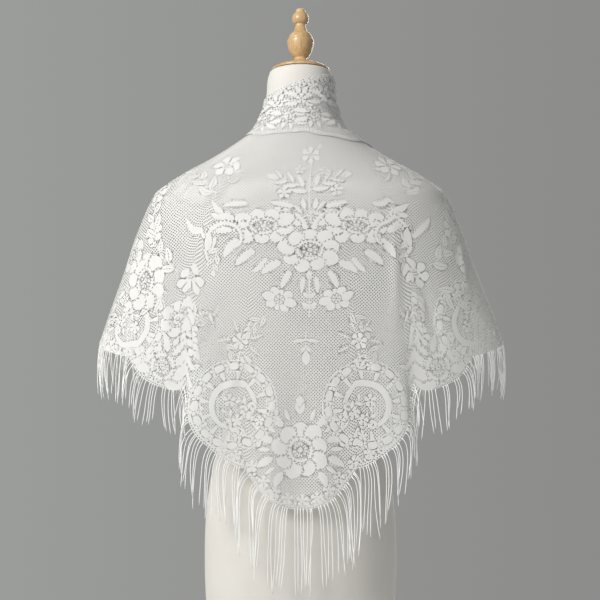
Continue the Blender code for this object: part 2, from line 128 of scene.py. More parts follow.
def on_ring(azimuth, radius, z):
    return np.stack([radius * np.sin(azimuth), -radius * np.cos(azimuth), z], axis=-1)


def srgb(code):
    """A colour given as on a paint card, in the linear values that the shaders take."""
    channels = [int(code[i : i + 2], 16) / 255 for i in (1, 3, 5)]
    linear = [c / 12.92 if c <= 0.04045 else ((c + 0.055) / 1.055) ** 2.4 for c in channels]
    return (*linear, 1)


def finish_named(name, roughness, **sockets):
    """A new material, its node tree and its surface shader."""
    made = bpy.data.materials.new(name)
    made.use_nodes = True
    shader = made.node_tree.nodes["Principled BSDF"]
    shader.inputs["Roughness"].default_value = roughness
    for socket, value in sockets.items():
        shader.inputs[socket.replace("_", " ")].default_value = value
    return made, made.node_tree, shader


def add_node(tree, kind, inputs, **settings):
    """A node with its settings. Each input is a plain value or the socket that feeds it."""
    node = tree.nodes.new(kind)
    for name, value in settings.items():
        setattr(node, name, value)
    for name, value in inputs.items():
        if isinstance(value, bpy.types.NodeSocket):
            tree.links.new(value, node.inputs[name])
        else:
            node.inputs[name].default_value = value
    return node


def add_piece(name, points, faces, finish):
    """A smooth-shaded mesh that rides on the part's one body."""
    mesh = bpy.data.meshes.new(name)
    mesh.from_pydata(np.asarray(points, float).tolist(), [], faces)
    mesh.shade_smooth()
    mesh.materials.append(finish)
    piece = bpy.data.objects.new(name, mesh)
    bpy.context.scene.collection.objects.link(piece)
    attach(piece, "root")
    return piece


def ring_faces(levels, sides):
    """Quads between rings of points, with the two flat ends."""
    faces = []
    for low in range(0, (levels - 1) * sides, sides):
        for i in range(sides):
            j = (i + 1) % sides
            faces.append((low + i, low + j, low + sides + j, low + sides + i))
    faces.append(tuple(reversed(range(sides))))
    faces.append(tuple(range((levels - 1) * sides, levels * sides)))
    return faces


jersey, jersey_tree, jersey_shader = finish_named("cotton_jersey", 0.82, Sheen_Weight=0.12)
jersey_place = add_node(jersey_tree, "ShaderNodeTexCoord", {}).outputs["Object"]
uneven = add_node(jersey_tree, "ShaderNodeTexNoise", {"Vector": jersey_place, "Scale": 14.0, "Detail": 3.0})
tone = add_node(jersey_tree, "ShaderNodeMix", {"Factor": uneven.outputs["Fac"]}, data_type="RGBA")
tone.inputs["A"].default_value = srgb(JERSEY_SHADE)
tone.inputs["B"].default_value = srgb(JERSEY_WHITE)
wales = add_node(
    jersey_tree,
    "ShaderNodeTexNoise",
    {"Vector": jersey_place, "Scale": 1 / JERSEY_RIB, "Detail": 1.0},
)
knit = add_node(
    jersey_tree,
    "ShaderNodeBump",
    {"Height": wales.outputs["Fac"], "Strength": 0.12, "Distance": 0.0004},
)
jersey_tree.links.new(tone.outputs["Result"], jersey_shader.inputs["Base Color"])
jersey_tree.links.new(knit.outputs["Normal"], jersey_shader.inputs["Normal"])

torso_around = np.arange(TORSO_SIDES) * 2 * math.pi / TORSO_SIDES
torso_levels = [row.z for row in TORSO]
for low, high in zip(TORSO, TORSO[1:]):
    steps = max(2, round((high.z - low.z) / TORSO_STEP))
    torso_levels += [low.z + (high.z - low.z) * k / steps for k in range(1, steps)]
torso_around, torso_z = np.meshgrid(torso_around, sorted(torso_levels))
torso_points = on_ring(torso_around, ring_radius(TORSO, torso_around, torso_z), torso_z)
neck_lean = ease((torso_z - NECK_TILT_FROM) / (TORSO[-1].z - NECK_TILT_FROM)) * math.tan(NECK_TILT)
torso_points[..., 2] -= neck_lean * (torso_points[..., 1] - NECK_CENTRE_Y)
torso = add_piece(
    "torso_cover", torso_points.reshape(-1, 3), ring_faces(*torso_points.shape[:2]), jersey
)
torso.data.set_sharp_from_angle(angle=math.radians(50))
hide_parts("form_torso")


# Neck cap and finial
# Two turnings of pale beech: a shallow domed cap over the neck's opening, and a finial with a knob, a
# ball, a groove and a foot. They are sanded and lacquered, so fine grain runs up them under a satin coat.
TurnedRing = namedtuple("TurnedRing", "height radius")
CAP = [
    TurnedRing(0.0000, 0.0439),
    TurnedRing(0.0007, 0.0446),
    TurnedRing(0.0026, 0.0444),
    TurnedRing(0.0055, 0.0400),
    TurnedRing(0.0095, 0.0305),
    TurnedRing(0.0130, 0.0205),
    TurnedRing(0.0150, 0.0130),
]
FINIAL = [
    TurnedRing(0.0000, 0.0112),
    TurnedRing(0.0012, 0.0112),
    TurnedRing(0.0050, 0.0099),
    TurnedRing(0.0091, 0.0135),
    TurnedRing(0.0173, 0.0178),
    TurnedRing(0.0254, 0.0199),
    TurnedRing(0.0320, 0.0209),
    TurnedRing(0.0344, 0.0203),
    TurnedRing(0.0352, 0.0187),
    TurnedRing(0.0372, 0.0188),
    TurnedRing(0.0433, 0.0163),
    TurnedRing(0.0476, 0.0116),
    TurnedRing(0.0499, 0.0103),
    TurnedRing(0.0564, 0.0081),
    TurnedRing(0.0596, 0.0080),
    TurnedRing(0.0615, 0.0104),
    TurnedRing(0.0652, 0.0124),
    TurnedRing(0.0694, 0.0130),
    TurnedRing(0.0740, 0.0121),
    TurnedRing(0.0775, 0.0099),
    TurnedRing(0.0793, 0.0077),
    TurnedRing(0.0825, 0.0073),
    TurnedRing(0.0847, 0.0055),
    TurnedRing(0.0862, 0.0025),
]
SEAT_GAP = 0.0003
TURNED_SIDES = 72
TURNED_STEPS = 3
BEECH_LIGHT = "#d3b588"
BEECH_DARK = "#b08d5f"
GRAIN_WIDTH = 0.0016  # fine beech rays are 0.5 mm apart; drawn coarser so that they show


def turned_piece(name, rings, foot, finish):
    """A turning whose profile runs smoothly through its table, standing on the leaning neck."""
    knots = np.arange(len(rings))
    at = np.linspace(0, knots[-1], knots[-1] * TURNED_STEPS + 1)
    heights = through(knots, [ring.height for ring in rings], at)
    radii = through(knots, [ring.radius for ring in rings], at)
    turn = np.arange(TURNED_SIDES) * 2 * math.pi / TURNED_SIDES
    x = radii[:, None] * np.cos(turn)
    y = radii[:, None] * np.sin(turn)
    up = heights[:, None] + foot + 0 * x
    points = np.stack(
        [
            x,
            y * math.cos(NECK_TILT) + up * math.sin(NECK_TILT) + NECK_CENTRE_Y,
            up * math.cos(NECK_TILT) - y * math.sin(NECK_TILT) + TORSO[-1].z + SEAT_GAP,
        ],
        axis=-1,
    )
    piece = add_piece(name, points.reshape(-1, 3), ring_faces(len(at), TURNED_SIDES), finish)
    piece.data.set_sharp_from_angle(angle=math.radians(50))
    return piece


beech, beech_tree, beech_shader = finish_named("lacquered_beech", 0.42, Coat_Weight=0.25, Coat_Roughness=0.22)
beech_place = add_node(beech_tree, "ShaderNodeTexCoord", {}).outputs["Object"]
along_grain = add_node(beech_tree, "ShaderNodeMapping", {"Vector": beech_place, "Scale": (1, 1, 0.09)})
grain = add_node(
    beech_tree,
    "ShaderNodeTexNoise",
    {"Vector": along_grain.outputs["Vector"], "Scale": 1 / GRAIN_WIDTH, "Detail": 4.0, "Distortion": 0.4},
)
bands = add_node(
    beech_tree, "ShaderNodeTexNoise", {"Vector": along_grain.outputs["Vector"], "Scale": 90.0, "Detail": 2.0}
)
figure = add_node(
    beech_tree, "ShaderNodeMath", {0: grain.outputs["Fac"], 1: bands.outputs["Fac"]}, operation="ADD"
)
spread = add_node(
    beech_tree, "ShaderNodeMapRange", {"Value": figure.outputs["Value"], "From Min": 0.75, "From Max": 1.3}
)
wood_tone = add_node(beech_tree, "ShaderNodeMix", {"Factor": spread.outputs["Result"]}, data_type="RGBA")
wood_tone.inputs["A"].default_value = srgb(BEECH_DARK)
wood_tone.inputs["B"].default_value = srgb(BEECH_LIGHT)
pores = add_node(
    beech_tree, "ShaderNodeBump", {"Height": grain.outputs["Fac"], "Strength": 0.10, "Distance": 0.0003}
)
beech_tree.links.new(wood_tone.outputs["Result"], beech_shader.inputs["Base Color"])
beech_tree.links.new(pores.outputs["Normal"], beech_shader.inputs["Normal"])

cap = turned_piece("neck_cap_turning", CAP, 0, beech)
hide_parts("neck_cap")
finial = turned_piece("finial_turning", FINIAL, CAP[-1].height + SEAT_GAP, beech)
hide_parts("finial")


# Post and base
# A short steel tube and a round steel plate, sprayed off-white. The paint is smooth with a faint
# orange-peel skin, and its gloss is low.
ENAMEL_WHITE = "#dedbd4"
PEEL_SIZE = 0.0025

enamel, enamel_tree, enamel_shader = finish_named("off_white_enamel", 0.38)
enamel_place = add_node(enamel_tree, "ShaderNodeTexCoord", {}).outputs["Object"]
peel = add_node(
    enamel_tree, "ShaderNodeTexNoise", {"Vector": enamel_place, "Scale": 1 / PEEL_SIZE, "Detail": 1.0}
)
skin = add_node(
    enamel_tree, "ShaderNodeBump", {"Height": peel.outputs["Fac"], "Strength": 0.06, "Distance": 0.0002}
)
enamel_shader.inputs["Base Color"].default_value = srgb(ENAMEL_WHITE)
enamel_tree.links.new(skin.outputs["Normal"], enamel_shader.inputs["Normal"])
for stand_part in ("base", "post"):
    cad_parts[stand_part].data.materials.clear()
    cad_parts[stand_part].data.materials.append(enamel)


# Shawl: the drape
# One triangular cut of cotton lace, worn with its long edge turned down round the neck and its point
# down the back. It lies on the form's neck and shoulders and hangs free below them in soft folds.
CAPE = [
    Section(0.330, 0.350, 0.137, 0.166, 2.3),
    Section(0.390, 0.346, 0.136, 0.165, 2.3),
    Section(0.480, 0.336, 0.134, 0.163, 2.3),
    Section(0.560, 0.324, 0.132, 0.160, 2.3),
    Section(0.637, 0.306, 0.129, 0.155, 2.3),
    Section(0.698, 0.287, 0.125, 0.146, 2.3),
    Section(0.740, 0.272, 0.121, 0.137, 2.3),
    Section(0.800, 0.251, 0.113, 0.118, 2.25),
    Section(0.848, 0.231, 0.098, 0.094, 2.2),
    Section(0.866, 0.219, 0.090, 0.084, 2.2),
    Section(0.900, 0.150, 0.064, 0.054, 2.1),
    Section(0.950, 0.060, 0.040, 0.035, 2.0),
    Section(1.060, 0.020, 0.020, 0.020, 2.0),
]
FRONT_EDGE = 168
TopEdge = namedtuple("TopEdge", "azimuth z")
TOP = [
    TopEdge(-FRONT_EDGE, 0.945),
    TopEdge(-120, 0.985),
    TopEdge(-90, 1.004),
    TopEdge(-60, 1.011),
    TopEdge(-30, 1.021),
    TopEdge(0, 1.031),
    TopEdge(30, 1.039),
    TopEdge(60, 1.042),
    TopEdge(90, 1.038),
    TopEdge(120, 1.012),
    TopEdge(FRONT_EDGE, 0.950),
]
Lobe = namedtuple("Lobe", "name notch_azimuth notch_z depth roundness")
BACK_POINT_Z = 0.452
HEM = [
    Lobe("back_point", 32, BACK_POINT_Z, 0.060, 2.6),
    Lobe("back_medallion", 57, 0.574, 0.031, 2.0),
    Lobe("back_flower", 71.5, 0.613, 0.022, 3.0),
    Lobe("side_medallion", 103, 0.688, 0.012, 2.0),
    Lobe("side_flower", 118, 0.672, 0.028, 2.4),
    Lobe("front_medallion", 146, 0.545, 0.032, 2.0),
    Lobe("front_tip", FRONT_EDGE, 0.365, 0.022, 2.0),
]
SEAM_AZIMUTH = 57
Fold = namedtuple("Fold", "azimuth out lean spread start_z full_z")
FOLDS = [
    Fold(48, 0.014, 2.5, 6.5, 0.720, 0.460),
    Fold(57.5, -0.014, -2.5, 5.5, 0.720, 0.500),
    Fold(83, 0.007, 0.0, 6.0, 0.760, 0.620),
    Fold(97, -0.008, 0.0, 6.0, 0.780, 0.660),
    Fold(111, 0.012, 2.0, 6.5, 0.780, 0.640),
    Fold(126, -0.012, -1.0, 7.0, 0.760, 0.560),
    Fold(141, 0.013, 1.0, 7.0, 0.740, 0.520),
    Fold(156, -0.010, 0.0, 6.0, 0.720, 0.460),
    Fold(-49.5, 0.017, -2.5, 6.5, 0.720, 0.460),
    Fold(-58.5, -0.014, 2.5, 5.5, 0.720, 0.500),
    Fold(-80, 0.006, 0.0, 7.0, 0.740, 0.600),
    Fold(-99, -0.009, 0.0, 7.0, 0.770, 0.640),
    Fold(-115, 0.013, -2.0, 6.5, 0.780, 0.640),
    Fold(-129, -0.010, 1.0, 6.0, 0.760, 0.560),
    Fold(-143, 0.012, -1.0, 7.0, 0.740, 0.520),
    Fold(-157, -0.009, 0.0, 6.0, 0.720, 0.460),
    Fold(14, 0.004, 0.0, 9.0, 0.640, 0.450),
    Fold(-17, 0.005, 0.0, 9.0, 0.660, 0.450),
]
Crease = namedtuple("Crease", "azimuth z slant length height width")
SHAWL_CREASES = [
    Crease(-71, 0.742, -14, 0.150, 0.0018, 0.0055),
    Crease(-64, 0.690, -8, 0.210, 0.0024, 0.0060),
    Crease(-48, 0.640, 12, 0.170, -0.0020, 0.0065),
    Crease(-38, 0.575, 17, 0.130, 0.0016, 0.0060),
    Crease(-22, 0.520, 32, 0.090, 0.0013, 0.0055),
    Crease(8, 0.497, -68, 0.085, 0.0010, 0.0050),
    Crease(24, 0.555, -24, 0.110, 0.0014, 0.0060),
    Crease(38, 0.630, -14, 0.150, 0.0020, 0.0065),
    Crease(52, 0.730, 6, 0.220, 0.0026, 0.0060),
    Crease(62, 0.680, -6, 0.180, -0.0022, 0.0060),
    Crease(77, 0.752, 13, 0.120, 0.0020, 0.0050),
    Crease(-88, 0.790, 5, 0.090, 0.0012, 0.0050),
    Crease(91, 0.795, -6, 0.080, 0.0012, 0.0048),
    Crease(-104, 0.735, 10, 0.150, 0.0020, 0.0060),
    Crease(-121, 0.655, -8, 0.190, -0.0018, 0.0065),
    Crease(-136, 0.600, 6, 0.210, 0.0024, 0.0065),
    Crease(-152, 0.555, -5, 0.170, 0.0017, 0.0060),
    Crease(107, 0.728, -11, 0.140, 0.0018, 0.0060),
    Crease(119, 0.665, 7, 0.200, -0.0020, 0.0062),
    Crease(134, 0.607, -7, 0.190, 0.0022, 0.0068),
    Crease(149, 0.562, 6, 0.180, 0.0018, 0.0058),
]
REST_GAP = 0.0006
WALL = 0.0015
LIFT_ROUNDING = 0.006
REACH = 0.012
CLEARING_ROUNDS = 8
CLOTH_ROWS = 91
CLOTH_COLUMNS = 337
CUT_ROWS = 16
CUT_COLUMNS = 57
CUT_ROUNDS = 80


def top_z(degrees):
    return through([row.azimuth for row in TOP], [row.z for row in TOP], degrees)


def hem_z(degrees):
    """Height of the scalloped hem below each azimuth."""
    around = np.abs(degrees)
    heights = np.zeros_like(around)
    before_azimuth, before_z = 0, BACK_POINT_Z
    for lobe in HEM:
        share = (around - before_azimuth) / (lobe.notch_azimuth - before_azimuth)
        bulge = 1 - np.abs(2 * share - 1) ** lobe.roundness
        if lobe is HEM[0]:
            bulge = 1 - share**lobe.roundness
        here = (share >= 0) & (share <= 1)
        chord = before_z + share * (lobe.notch_z - before_z)
        heights[here] = (chord - lobe.depth * bulge)[here]
        before_azimuth, before_z = lobe.notch_azimuth, lobe.notch_z
    return heights


def drape(degrees, z):
    """The cloth's inner face: it lies on the form above and hangs free of it below, with its folds."""
    azimuth = np.radians(degrees)
    on_form = ring_radius(TORSO, azimuth, z) + REST_GAP
    apart = on_form - ring_radius(CAPE, azimuth, z)
    radius = on_form - (apart - np.sqrt(apart**2 + LIFT_ROUNDING**2)) / 2
    turned = azimuth.copy()
    for fold in FOLDS:
        from_crest = (degrees - fold.azimuth) / fold.spread
        share = np.exp(-(from_crest**2)) * ease((fold.start_z - z) / (fold.start_z - fold.full_z))
        radius = radius + fold.out * share
        turned = turned + np.radians(fold.lean) * share
    return on_ring(turned, radius, z)


def creased(grid, degrees, creases):
    """How far a cloth's own small creases lift it: soft ridges and troughs, fullest at their middles."""
    radius = np.hypot(grid[..., 0], grid[..., 1])
    lift = np.zeros(radius.shape)
    for crease in creases:
        across = np.radians(degrees - crease.azimuth) * radius
        up = grid[..., 2] - crease.z
        slant = math.radians(crease.slant)
        along = up * math.cos(slant) + across * math.sin(slant)
        aside = across * math.cos(slant) - up * math.sin(slant)
        fullness = np.clip(1 - (2 * along / crease.length) ** 2, 0, 1) ** 2
        lift += crease.height * fullness * np.exp(-((aside / crease.width) ** 2))
    return lift


def face_out(grid):
    """Outward unit normals of a grid of points."""
    normals = np.cross(np.gradient(grid, axis=0), np.gradient(grid, axis=1))
    return normals / np.linalg.norm(normals, axis=-1, keepdims=True)


def hold_off(grid, tree, gap):
    """Moves a grid's points outwards until they stand at least a gap from a surface."""
    for _ in range(CLEARING_ROUNDS):
        short = np.zeros(grid.shape[:2])
        for place in np.ndindex(short.shape):
            point = Vector(grid[place])
            near, facing, _, _ = tree.find_nearest(point, REACH)
            if near is not None:
                short[place] = gap - (point - near).dot(facing)
        if short.max() <= 1e-5:
            break
        grid = grid + face_out(grid) * np.maximum(short, 0)[..., None]
    return grid


def triangles_of(rows, columns):
    """Two triangles for each cell of a grid whose points run row by row."""
    a = (np.arange(rows - 1)[:, None] * columns + np.arange(columns - 1)).reshape(-1)
    lower = np.stack([a, a + columns, a + columns + 1], axis=1)
    upper = np.stack([a, a + columns + 1, a + 1], axis=1)
    return np.concatenate([lower, upper])


def lay_flat(grid):
    """The flat cut of a draped grid: every triangle keeps its own shape as nearly as they all can."""
    points = grid.reshape(-1, 3)
    cells = triangles_of(*grid.shape[:2])
    a, b, c = (points[cells[:, k]] for k in range(3))
    along = (b - a) / np.linalg.norm(b - a, axis=1, keepdims=True)
    facing = np.cross(b - a, c - a)
    twice_area = np.linalg.norm(facing, axis=1, keepdims=True)
    aside = np.cross(facing / twice_area, along)
    own = np.zeros((len(cells), 3, 2))
    own[:, 1, 0] = ((b - a) * along).sum(1)
    own[:, 2, 0] = ((c - a) * along).sum(1)
    own[:, 2, 1] = ((c - a) * aside).sum(1)
    edges = own[:, [2, 0, 1]] - own[:, [1, 2, 0]]
    opposite = -(edges[:, [1, 2, 0]] * edges[:, [2, 0, 1]]).sum(2) / twice_area
    stiffness = np.zeros((len(points), len(points)))
    for k in range(3):
        i, j = cells[:, (k + 1) % 3], cells[:, (k + 2) % 3]
        np.add.at(stiffness, (i, i), opposite[:, k])
        np.add.at(stiffness, (j, j), opposite[:, k])
        np.add.at(stiffness, (i, j), -opposite[:, k])
        np.add.at(stiffness, (j, i), -opposite[:, k])
    stiffness[0, 0] += 1
    relax = np.linalg.inv(stiffness)
    down = np.linalg.norm(np.diff(grid, axis=0), axis=2)
    radius = 0.12 + np.concatenate([np.zeros((1, grid.shape[1])), np.cumsum(down, axis=0)])
    across = np.linspace(-1, 1, grid.shape[1])[None, :] * math.radians(110)
    flat = np.stack([radius * np.sin(across), -radius * np.cos(across)], axis=-1).reshape(-1, 2)
    for _ in range(CUT_ROUNDS):
        now = flat[cells]
        pulled = now[:, [2, 0, 1]] - now[:, [1, 2, 0]]
        weight = opposite[..., None]
        dot = (weight * edges * pulled).sum((1, 2))
        cross = (opposite * (edges[..., 0] * pulled[..., 1] - edges[..., 1] * pulled[..., 0])).sum(1)
        turn = np.arctan2(cross, dot)
        cos, sin = np.cos(turn)[:, None], np.sin(turn)[:, None]
        wanted = np.stack(
            [edges[..., 0] * cos - edges[..., 1] * sin, edges[..., 0] * sin + edges[..., 1] * cos], axis=-1
        )
        pull = np.zeros_like(flat)
        for k in range(3):
            share = opposite[:, k, None] * wanted[:, k]
            np.add.at(pull, cells[:, (k + 2) % 3], share)
            np.add.at(pull, cells[:, (k + 1) % 3], -share)
        flat = relax @ pull
    return flat.reshape(*grid.shape[:2], 2)


Cloth = namedtuple("Cloth", "grid normals flat tree cells degrees")


def cloth_of(degrees, grid):
    """A draped grid with its flat cut, so that what is laid out on the cut can be put on the drape."""
    rows, columns = grid.shape[:2]
    some_rows = np.linspace(0, rows - 1, CUT_ROWS).round().astype(int)
    some_columns = np.linspace(0, columns - 1, CUT_COLUMNS).round().astype(int)
    coarse = lay_flat(grid[np.ix_(some_rows, some_columns)])
    by_row = np.stack([through(some_rows, coarse[:, c], np.arange(rows)) for c in range(CUT_COLUMNS)], 1)
    flat = np.stack([through(some_columns, by_row[r], np.arange(columns)) for r in range(rows)])
    middle = columns // 2
    down = flat[-1, middle] - flat[0, middle]
    angle = math.atan2(down[0], -down[1])
    spin = np.array([[math.cos(angle), -math.sin(angle)], [math.sin(angle), math.cos(angle)]])
    flat = (flat - flat[0, middle]) @ spin
    cells = triangles_of(rows, columns)
    table = np.concatenate([flat.reshape(-1, 2), np.zeros((rows * columns, 1))], axis=1)
    tree = BVHTree.FromPolygons(table.tolist(), cells.tolist())
    return Cloth(grid, face_out(grid), flat, tree, cells, degrees)


torso_tree = BVHTree.FromObject(torso, bpy.context.evaluated_depsgraph_get())
cloth_degrees = np.linspace(-FRONT_EDGE, FRONT_EDGE, CLOTH_COLUMNS)
cloth_shares = np.linspace(0, 1, CLOTH_ROWS)[:, None]
cloth_top = top_z(cloth_degrees)
cloth_z = cloth_top + (hem_z(cloth_degrees) - cloth_top) * cloth_shares
cloth_inner = drape(np.broadcast_to(cloth_degrees, cloth_z.shape), cloth_z)
worn = creased(cloth_inner, cloth_degrees, SHAWL_CREASES)
cloth_inner = hold_off(cloth_inner + face_out(cloth_inner) * worn[..., None], torso_tree, REST_GAP)
shawl = cloth_of(cloth_degrees, cloth_inner + face_out(cloth_inner) * WALL / 3)


# Shawl: the lace
# The lace is machine made in one go: a ground of fine cotton net, with leaves, flowers, stems and
# medallions in dense clothwork, each outlined by a row of eyelets and a slightly raised edge. All of it
# is drawn in the flat cut, then put on the drape. Cotton gives it a cool, quite matt white.
MESH_SIDE = 0.0035  # true holes are 2.6 mm apart; drawn coarser so that they show
NET_THREAD = 0.0015
NET_ROUND = 0.00015
LOW = 0.00022
RAISED = 0.00028
CORDED = 0.00036
STEP = 0.0023
EYELET_BAND = 0.0016
EDGE_CORD = 0.0008
CLOTH_BAND = 0.0024
EDGE_REACH = 0.003
CORD_HALF = 0.0008
COTTON_WHITE = "#d9d9d7"
COTTON_SHADE = "#d1d1cf"
YARN_WIDTH = 0.0012  # true yarns are 0.3 mm; drawn coarser so that they show

Ribbon = namedtuple("Ribbon", "spine half style")
Band = namedtuple("Band", "across lift eyelets")


def stroke(foot, heading, length, bend=0.0):
    """A smooth line of even steps from its foot, turning by its bend on the way. Up is heading 0."""
    count = max(5, 2 * round(length / STEP / 2) + 1)
    share = np.linspace(0, 1, count)
    way = np.radians(heading + bend * share)
    steps = np.stack([np.sin(way), np.cos(way)], axis=1) * length / (count - 1)
    return np.asarray(foot) + np.concatenate([np.zeros((1, 2)), np.cumsum((steps[1:] + steps[:-1]) / 2, axis=0)])


def leaf(foot, heading, length, width, bend=0.0, style="veined"):
    spine = stroke(foot, heading, length, bend)
    share = np.linspace(0, 1, len(spine))
    return Ribbon(spine, width / 2 * np.maximum(np.sin(math.pi * share**0.8), 0.02) ** 0.85, style)


def petal(foot, heading, length, width, bend=0.0, style="cloth"):
    spine = stroke(foot, heading, length, bend)
    share = np.linspace(0, 1, len(spine))
    return Ribbon(spine, width / 2 * np.maximum(np.sin(math.pi * share**1.25), 0.04) ** 0.6, style)


def stem(foot, heading, length, bend=0.0):
    spine = stroke(foot, heading, length, bend)
    return Ribbon(spine, np.full(len(spine), CORD_HALF), "cord")


def arc(centre, radius, start, end, width, style="cloth", taper=0.0):
    """A band round a centre, from one heading to another, thinner at its ends by its taper."""
    count = max(5, 2 * round(abs(math.radians(end - start)) * radius / STEP / 2) + 1)
    share = np.linspace(0, 1, count)
    way = np.radians(start + (end - start) * share)
    spine = np.asarray(centre) + radius * np.stack([np.sin(way), np.cos(way)], axis=1)
    return Ribbon(spine, width / 2 * (1 - taper * np.abs(2 * share - 1) ** 2.2), style)


def flower(radius, petals, first=0.0):
    """Open petals round a ring, with net inside the ring."""
    drawn = []
    for k in range(petals):
        heading = first + 360 * k / petals
        foot = 0.30 * radius * np.array([math.sin(math.radians(heading)), math.cos(math.radians(heading))])
        drawn.append(petal(foot, heading, 0.72 * radius, 3.9 * radius / petals, 0, "cloth"))
    drawn.append(arc((0, 0), 0.30 * radius, 0, 360, 0.0022, "cord"))
    return drawn


def rose(radius, first=0.0):
    """Three rounds of wrapped petals, each outlined by eyelets."""
    drawn = []
    for rounds, (at, petals, width) in enumerate(((0.78, 5, 0.44), (0.40, 3, 0.30))):
        for k in range(petals):
            start = first + 40 * rounds + 360 * k / petals
            end = start + 360 / petals - 6
            drawn.append(arc((0, 0), at * radius, start, end, width * radius, "edged", 0.45))
    drawn.append(arc((0, 0), 0.12 * radius, 0, 360, 0.0022, "cord"))
    return drawn


def rosette(radius, petals, first=0.0):
    """A rose in a ring of broad petals, long and short in turn."""
    drawn = []
    for k in range(petals):
        heading = first + 360 * k / petals
        length = (1.50 if k % 2 else 1.30) * radius
        foot = 0.60 * radius * towards(heading)
        drawn.append(petal(foot, heading, length, 12.6 * radius / petals, 0, "edged"))
    return drawn + rose(radius, first)


def wide_flower():
    """A broad flat flower: long petals to the sides, short ones up and down, and a netted eye."""
    drawn = []
    for heading, length in ((0, 0.012), (180, 0.013), (48, 0.018), (-48, 0.018), (130, 0.018), (-130, 0.018), (90, 0.023), (-90, 0.023)):
        drawn.append(petal(0.003 * towards(heading), heading, length, 0.0135, 0, "cloth"))
    return drawn + [arc((0, 0), 0.0042, 0, 360, 0.0056, "half")]


def bud(length, heading=0.0):
    return [
        petal((0, 0), heading, length, 0.52 * length),
        leaf((0, 0), heading - 34, 0.7 * length, 0.22 * length, 30, "cloth"),
        leaf((0, 0), heading + 34, 0.7 * length, 0.22 * length, -30, "cloth"),
    ]


def moved(drawn, at, heading=0.0, size=1.0, flip=False):
    """Ribbons turned clockwise from up to a heading, and moved to their place."""
    turn = math.radians(heading)
    spin = np.array([[math.cos(turn), -math.sin(turn)], [math.sin(turn), math.cos(turn)]])
    sides = np.array([-1 if flip else 1, 1]) * size
    half = np.mean(size)
    return [Ribbon((r.spine * sides) @ spin + np.asarray(at), r.half * half, r.style) for r in drawn]


def spray(length, bend, leaves, leaf_length, leaf_width, tip="bud", style="veined"):
    """A stem with leaves to either side in turn, and something at its tip."""
    line = stem((0, 0), 0, length, bend)
    drawn = [line]
    for k in range(leaves):
        share = (k + 0.7) / (leaves + 0.4)
        at = line.spine[int(share * (len(line.spine) - 1))]
        side = 1 if k % 2 else -1
        heading = bend * share + side * 52
        grown = 1 - 0.35 * share
        drawn.append(leaf(at, heading, leaf_length * grown, leaf_width * grown, -side * 34, style))
    if tip == "bud":
        drawn += moved(bud(0.62 * leaf_length), line.spine[-1], bend)
    if tip == "flower":
        drawn += moved(flower(0.62 * leaf_length, 5), line.spine[-1], bend)
    return drawn


def scroll(size, curl=250):
    """A thick tendril that curls into itself, with a leaf on its back."""
    count = 2 * round(size / STEP / 2) + 1
    share = np.linspace(0, 1, count)
    way = np.radians(curl * share**1.6)
    steps = np.stack([np.sin(way), np.cos(way)], axis=1) * size / (count - 1)
    spine = np.cumsum(steps, axis=0)
    drawn = [Ribbon(spine, 0.0012 + 0.034 * size * np.sin(math.pi * share**0.8) ** 0.8, "edged")]
    drawn.append(leaf(spine[count // 4], -44, 0.36 * size, 0.12 * size, 40, "edged"))
    drawn.append(leaf(spine[count // 8], 40, 0.26 * size, 0.09 * size, -30, "cloth"))
    return drawn


def towards(heading):
    return np.array([math.sin(math.radians(heading)), math.cos(math.radians(heading))])


def medallion(radius, opening=0.0):
    """A dotted frame, a ring of net crossed by wedge-shaped spokes, and a crescent round flower sprays."""
    frame_width = 0.21 * radius
    drawn = [arc((0, 0), radius, 0, 360, 0.0018, "cord")]
    drawn.append(arc((0, 0), radius - frame_width - 0.0015, 0, 360, 0.0018, "cord"))
    blocks = round(2 * math.pi * radius / 0.026)
    for k in range(blocks):
        heading = 360 * (k + 0.5) / blocks
        ring = (radius - frame_width / 2 - 0.0008) * towards(heading)
        drawn += moved(flower(0.52 * frame_width, 5), ring, heading)
        start = heading + 180 / blocks - 22 * 0.066 / radius / 2
        drawn.append(arc((0, 0), radius - frame_width / 2 - 0.0008, start, start + 15, frame_width - 0.003, "cloth", 0.5))
    spokes = 12
    for k in range(spokes):
        heading = opening + 360 * (k + 0.5) / spokes
        spoke = stroke(0.56 * radius * towards(heading), heading, 0.22 * radius)
        drawn.append(Ribbon(spoke, np.linspace(0.024, 0.062, len(spoke)) * radius, "cloth"))
    drawn.append(arc((0, 0), 0.50 * radius, opening + 58, opening + 302, 0.15 * radius, "cloth", 0.45))
    for side in (-1, 1):
        end = 0.50 * radius * towards(opening + side * 54)
        drawn.append(arc(end * 0.86, 0.070 * radius, 0, 360, 0.07 * radius, "cloth"))
        foot = 0.62 * radius * towards(opening + side * 20)
        branch = spray(0.66 * radius, side * 14, 5, 0.25 * radius, 0.11 * radius, "none", "cloth")
        drawn += moved(branch, foot, opening + 180 - side * 4)
        drawn += moved(flower(0.14 * radius, 5), foot * 0.55, opening)
        drawn += moved(flower(0.12 * radius, 5), foot * 1.05 + 0.08 * radius * towards(opening + side * 90), opening)
    return drawn + moved(flower(0.15 * radius, 5), 0.16 * radius * towards(opening + 180), opening)


LobeLeaf = namedtuple("LobeLeaf", "x y heading length width bend style")
LOBE_LEAVES = [
    LobeLeaf(0.86, 0.42, 30, 0.46, 0.20, 30, "cloth"),
    LobeLeaf(0.10, 0.50, 26, 0.62, 0.34, 34, "edged"),
    LobeLeaf(0.30, 0.30, 56, 0.84, 0.46, 30, "edged"),
    LobeLeaf(0.34, -0.34, 96, 0.80, 0.40, -30, "edged"),
    LobeLeaf(0.36, -0.02, 78, 1.00, 0.50, 14, "edged"),
]


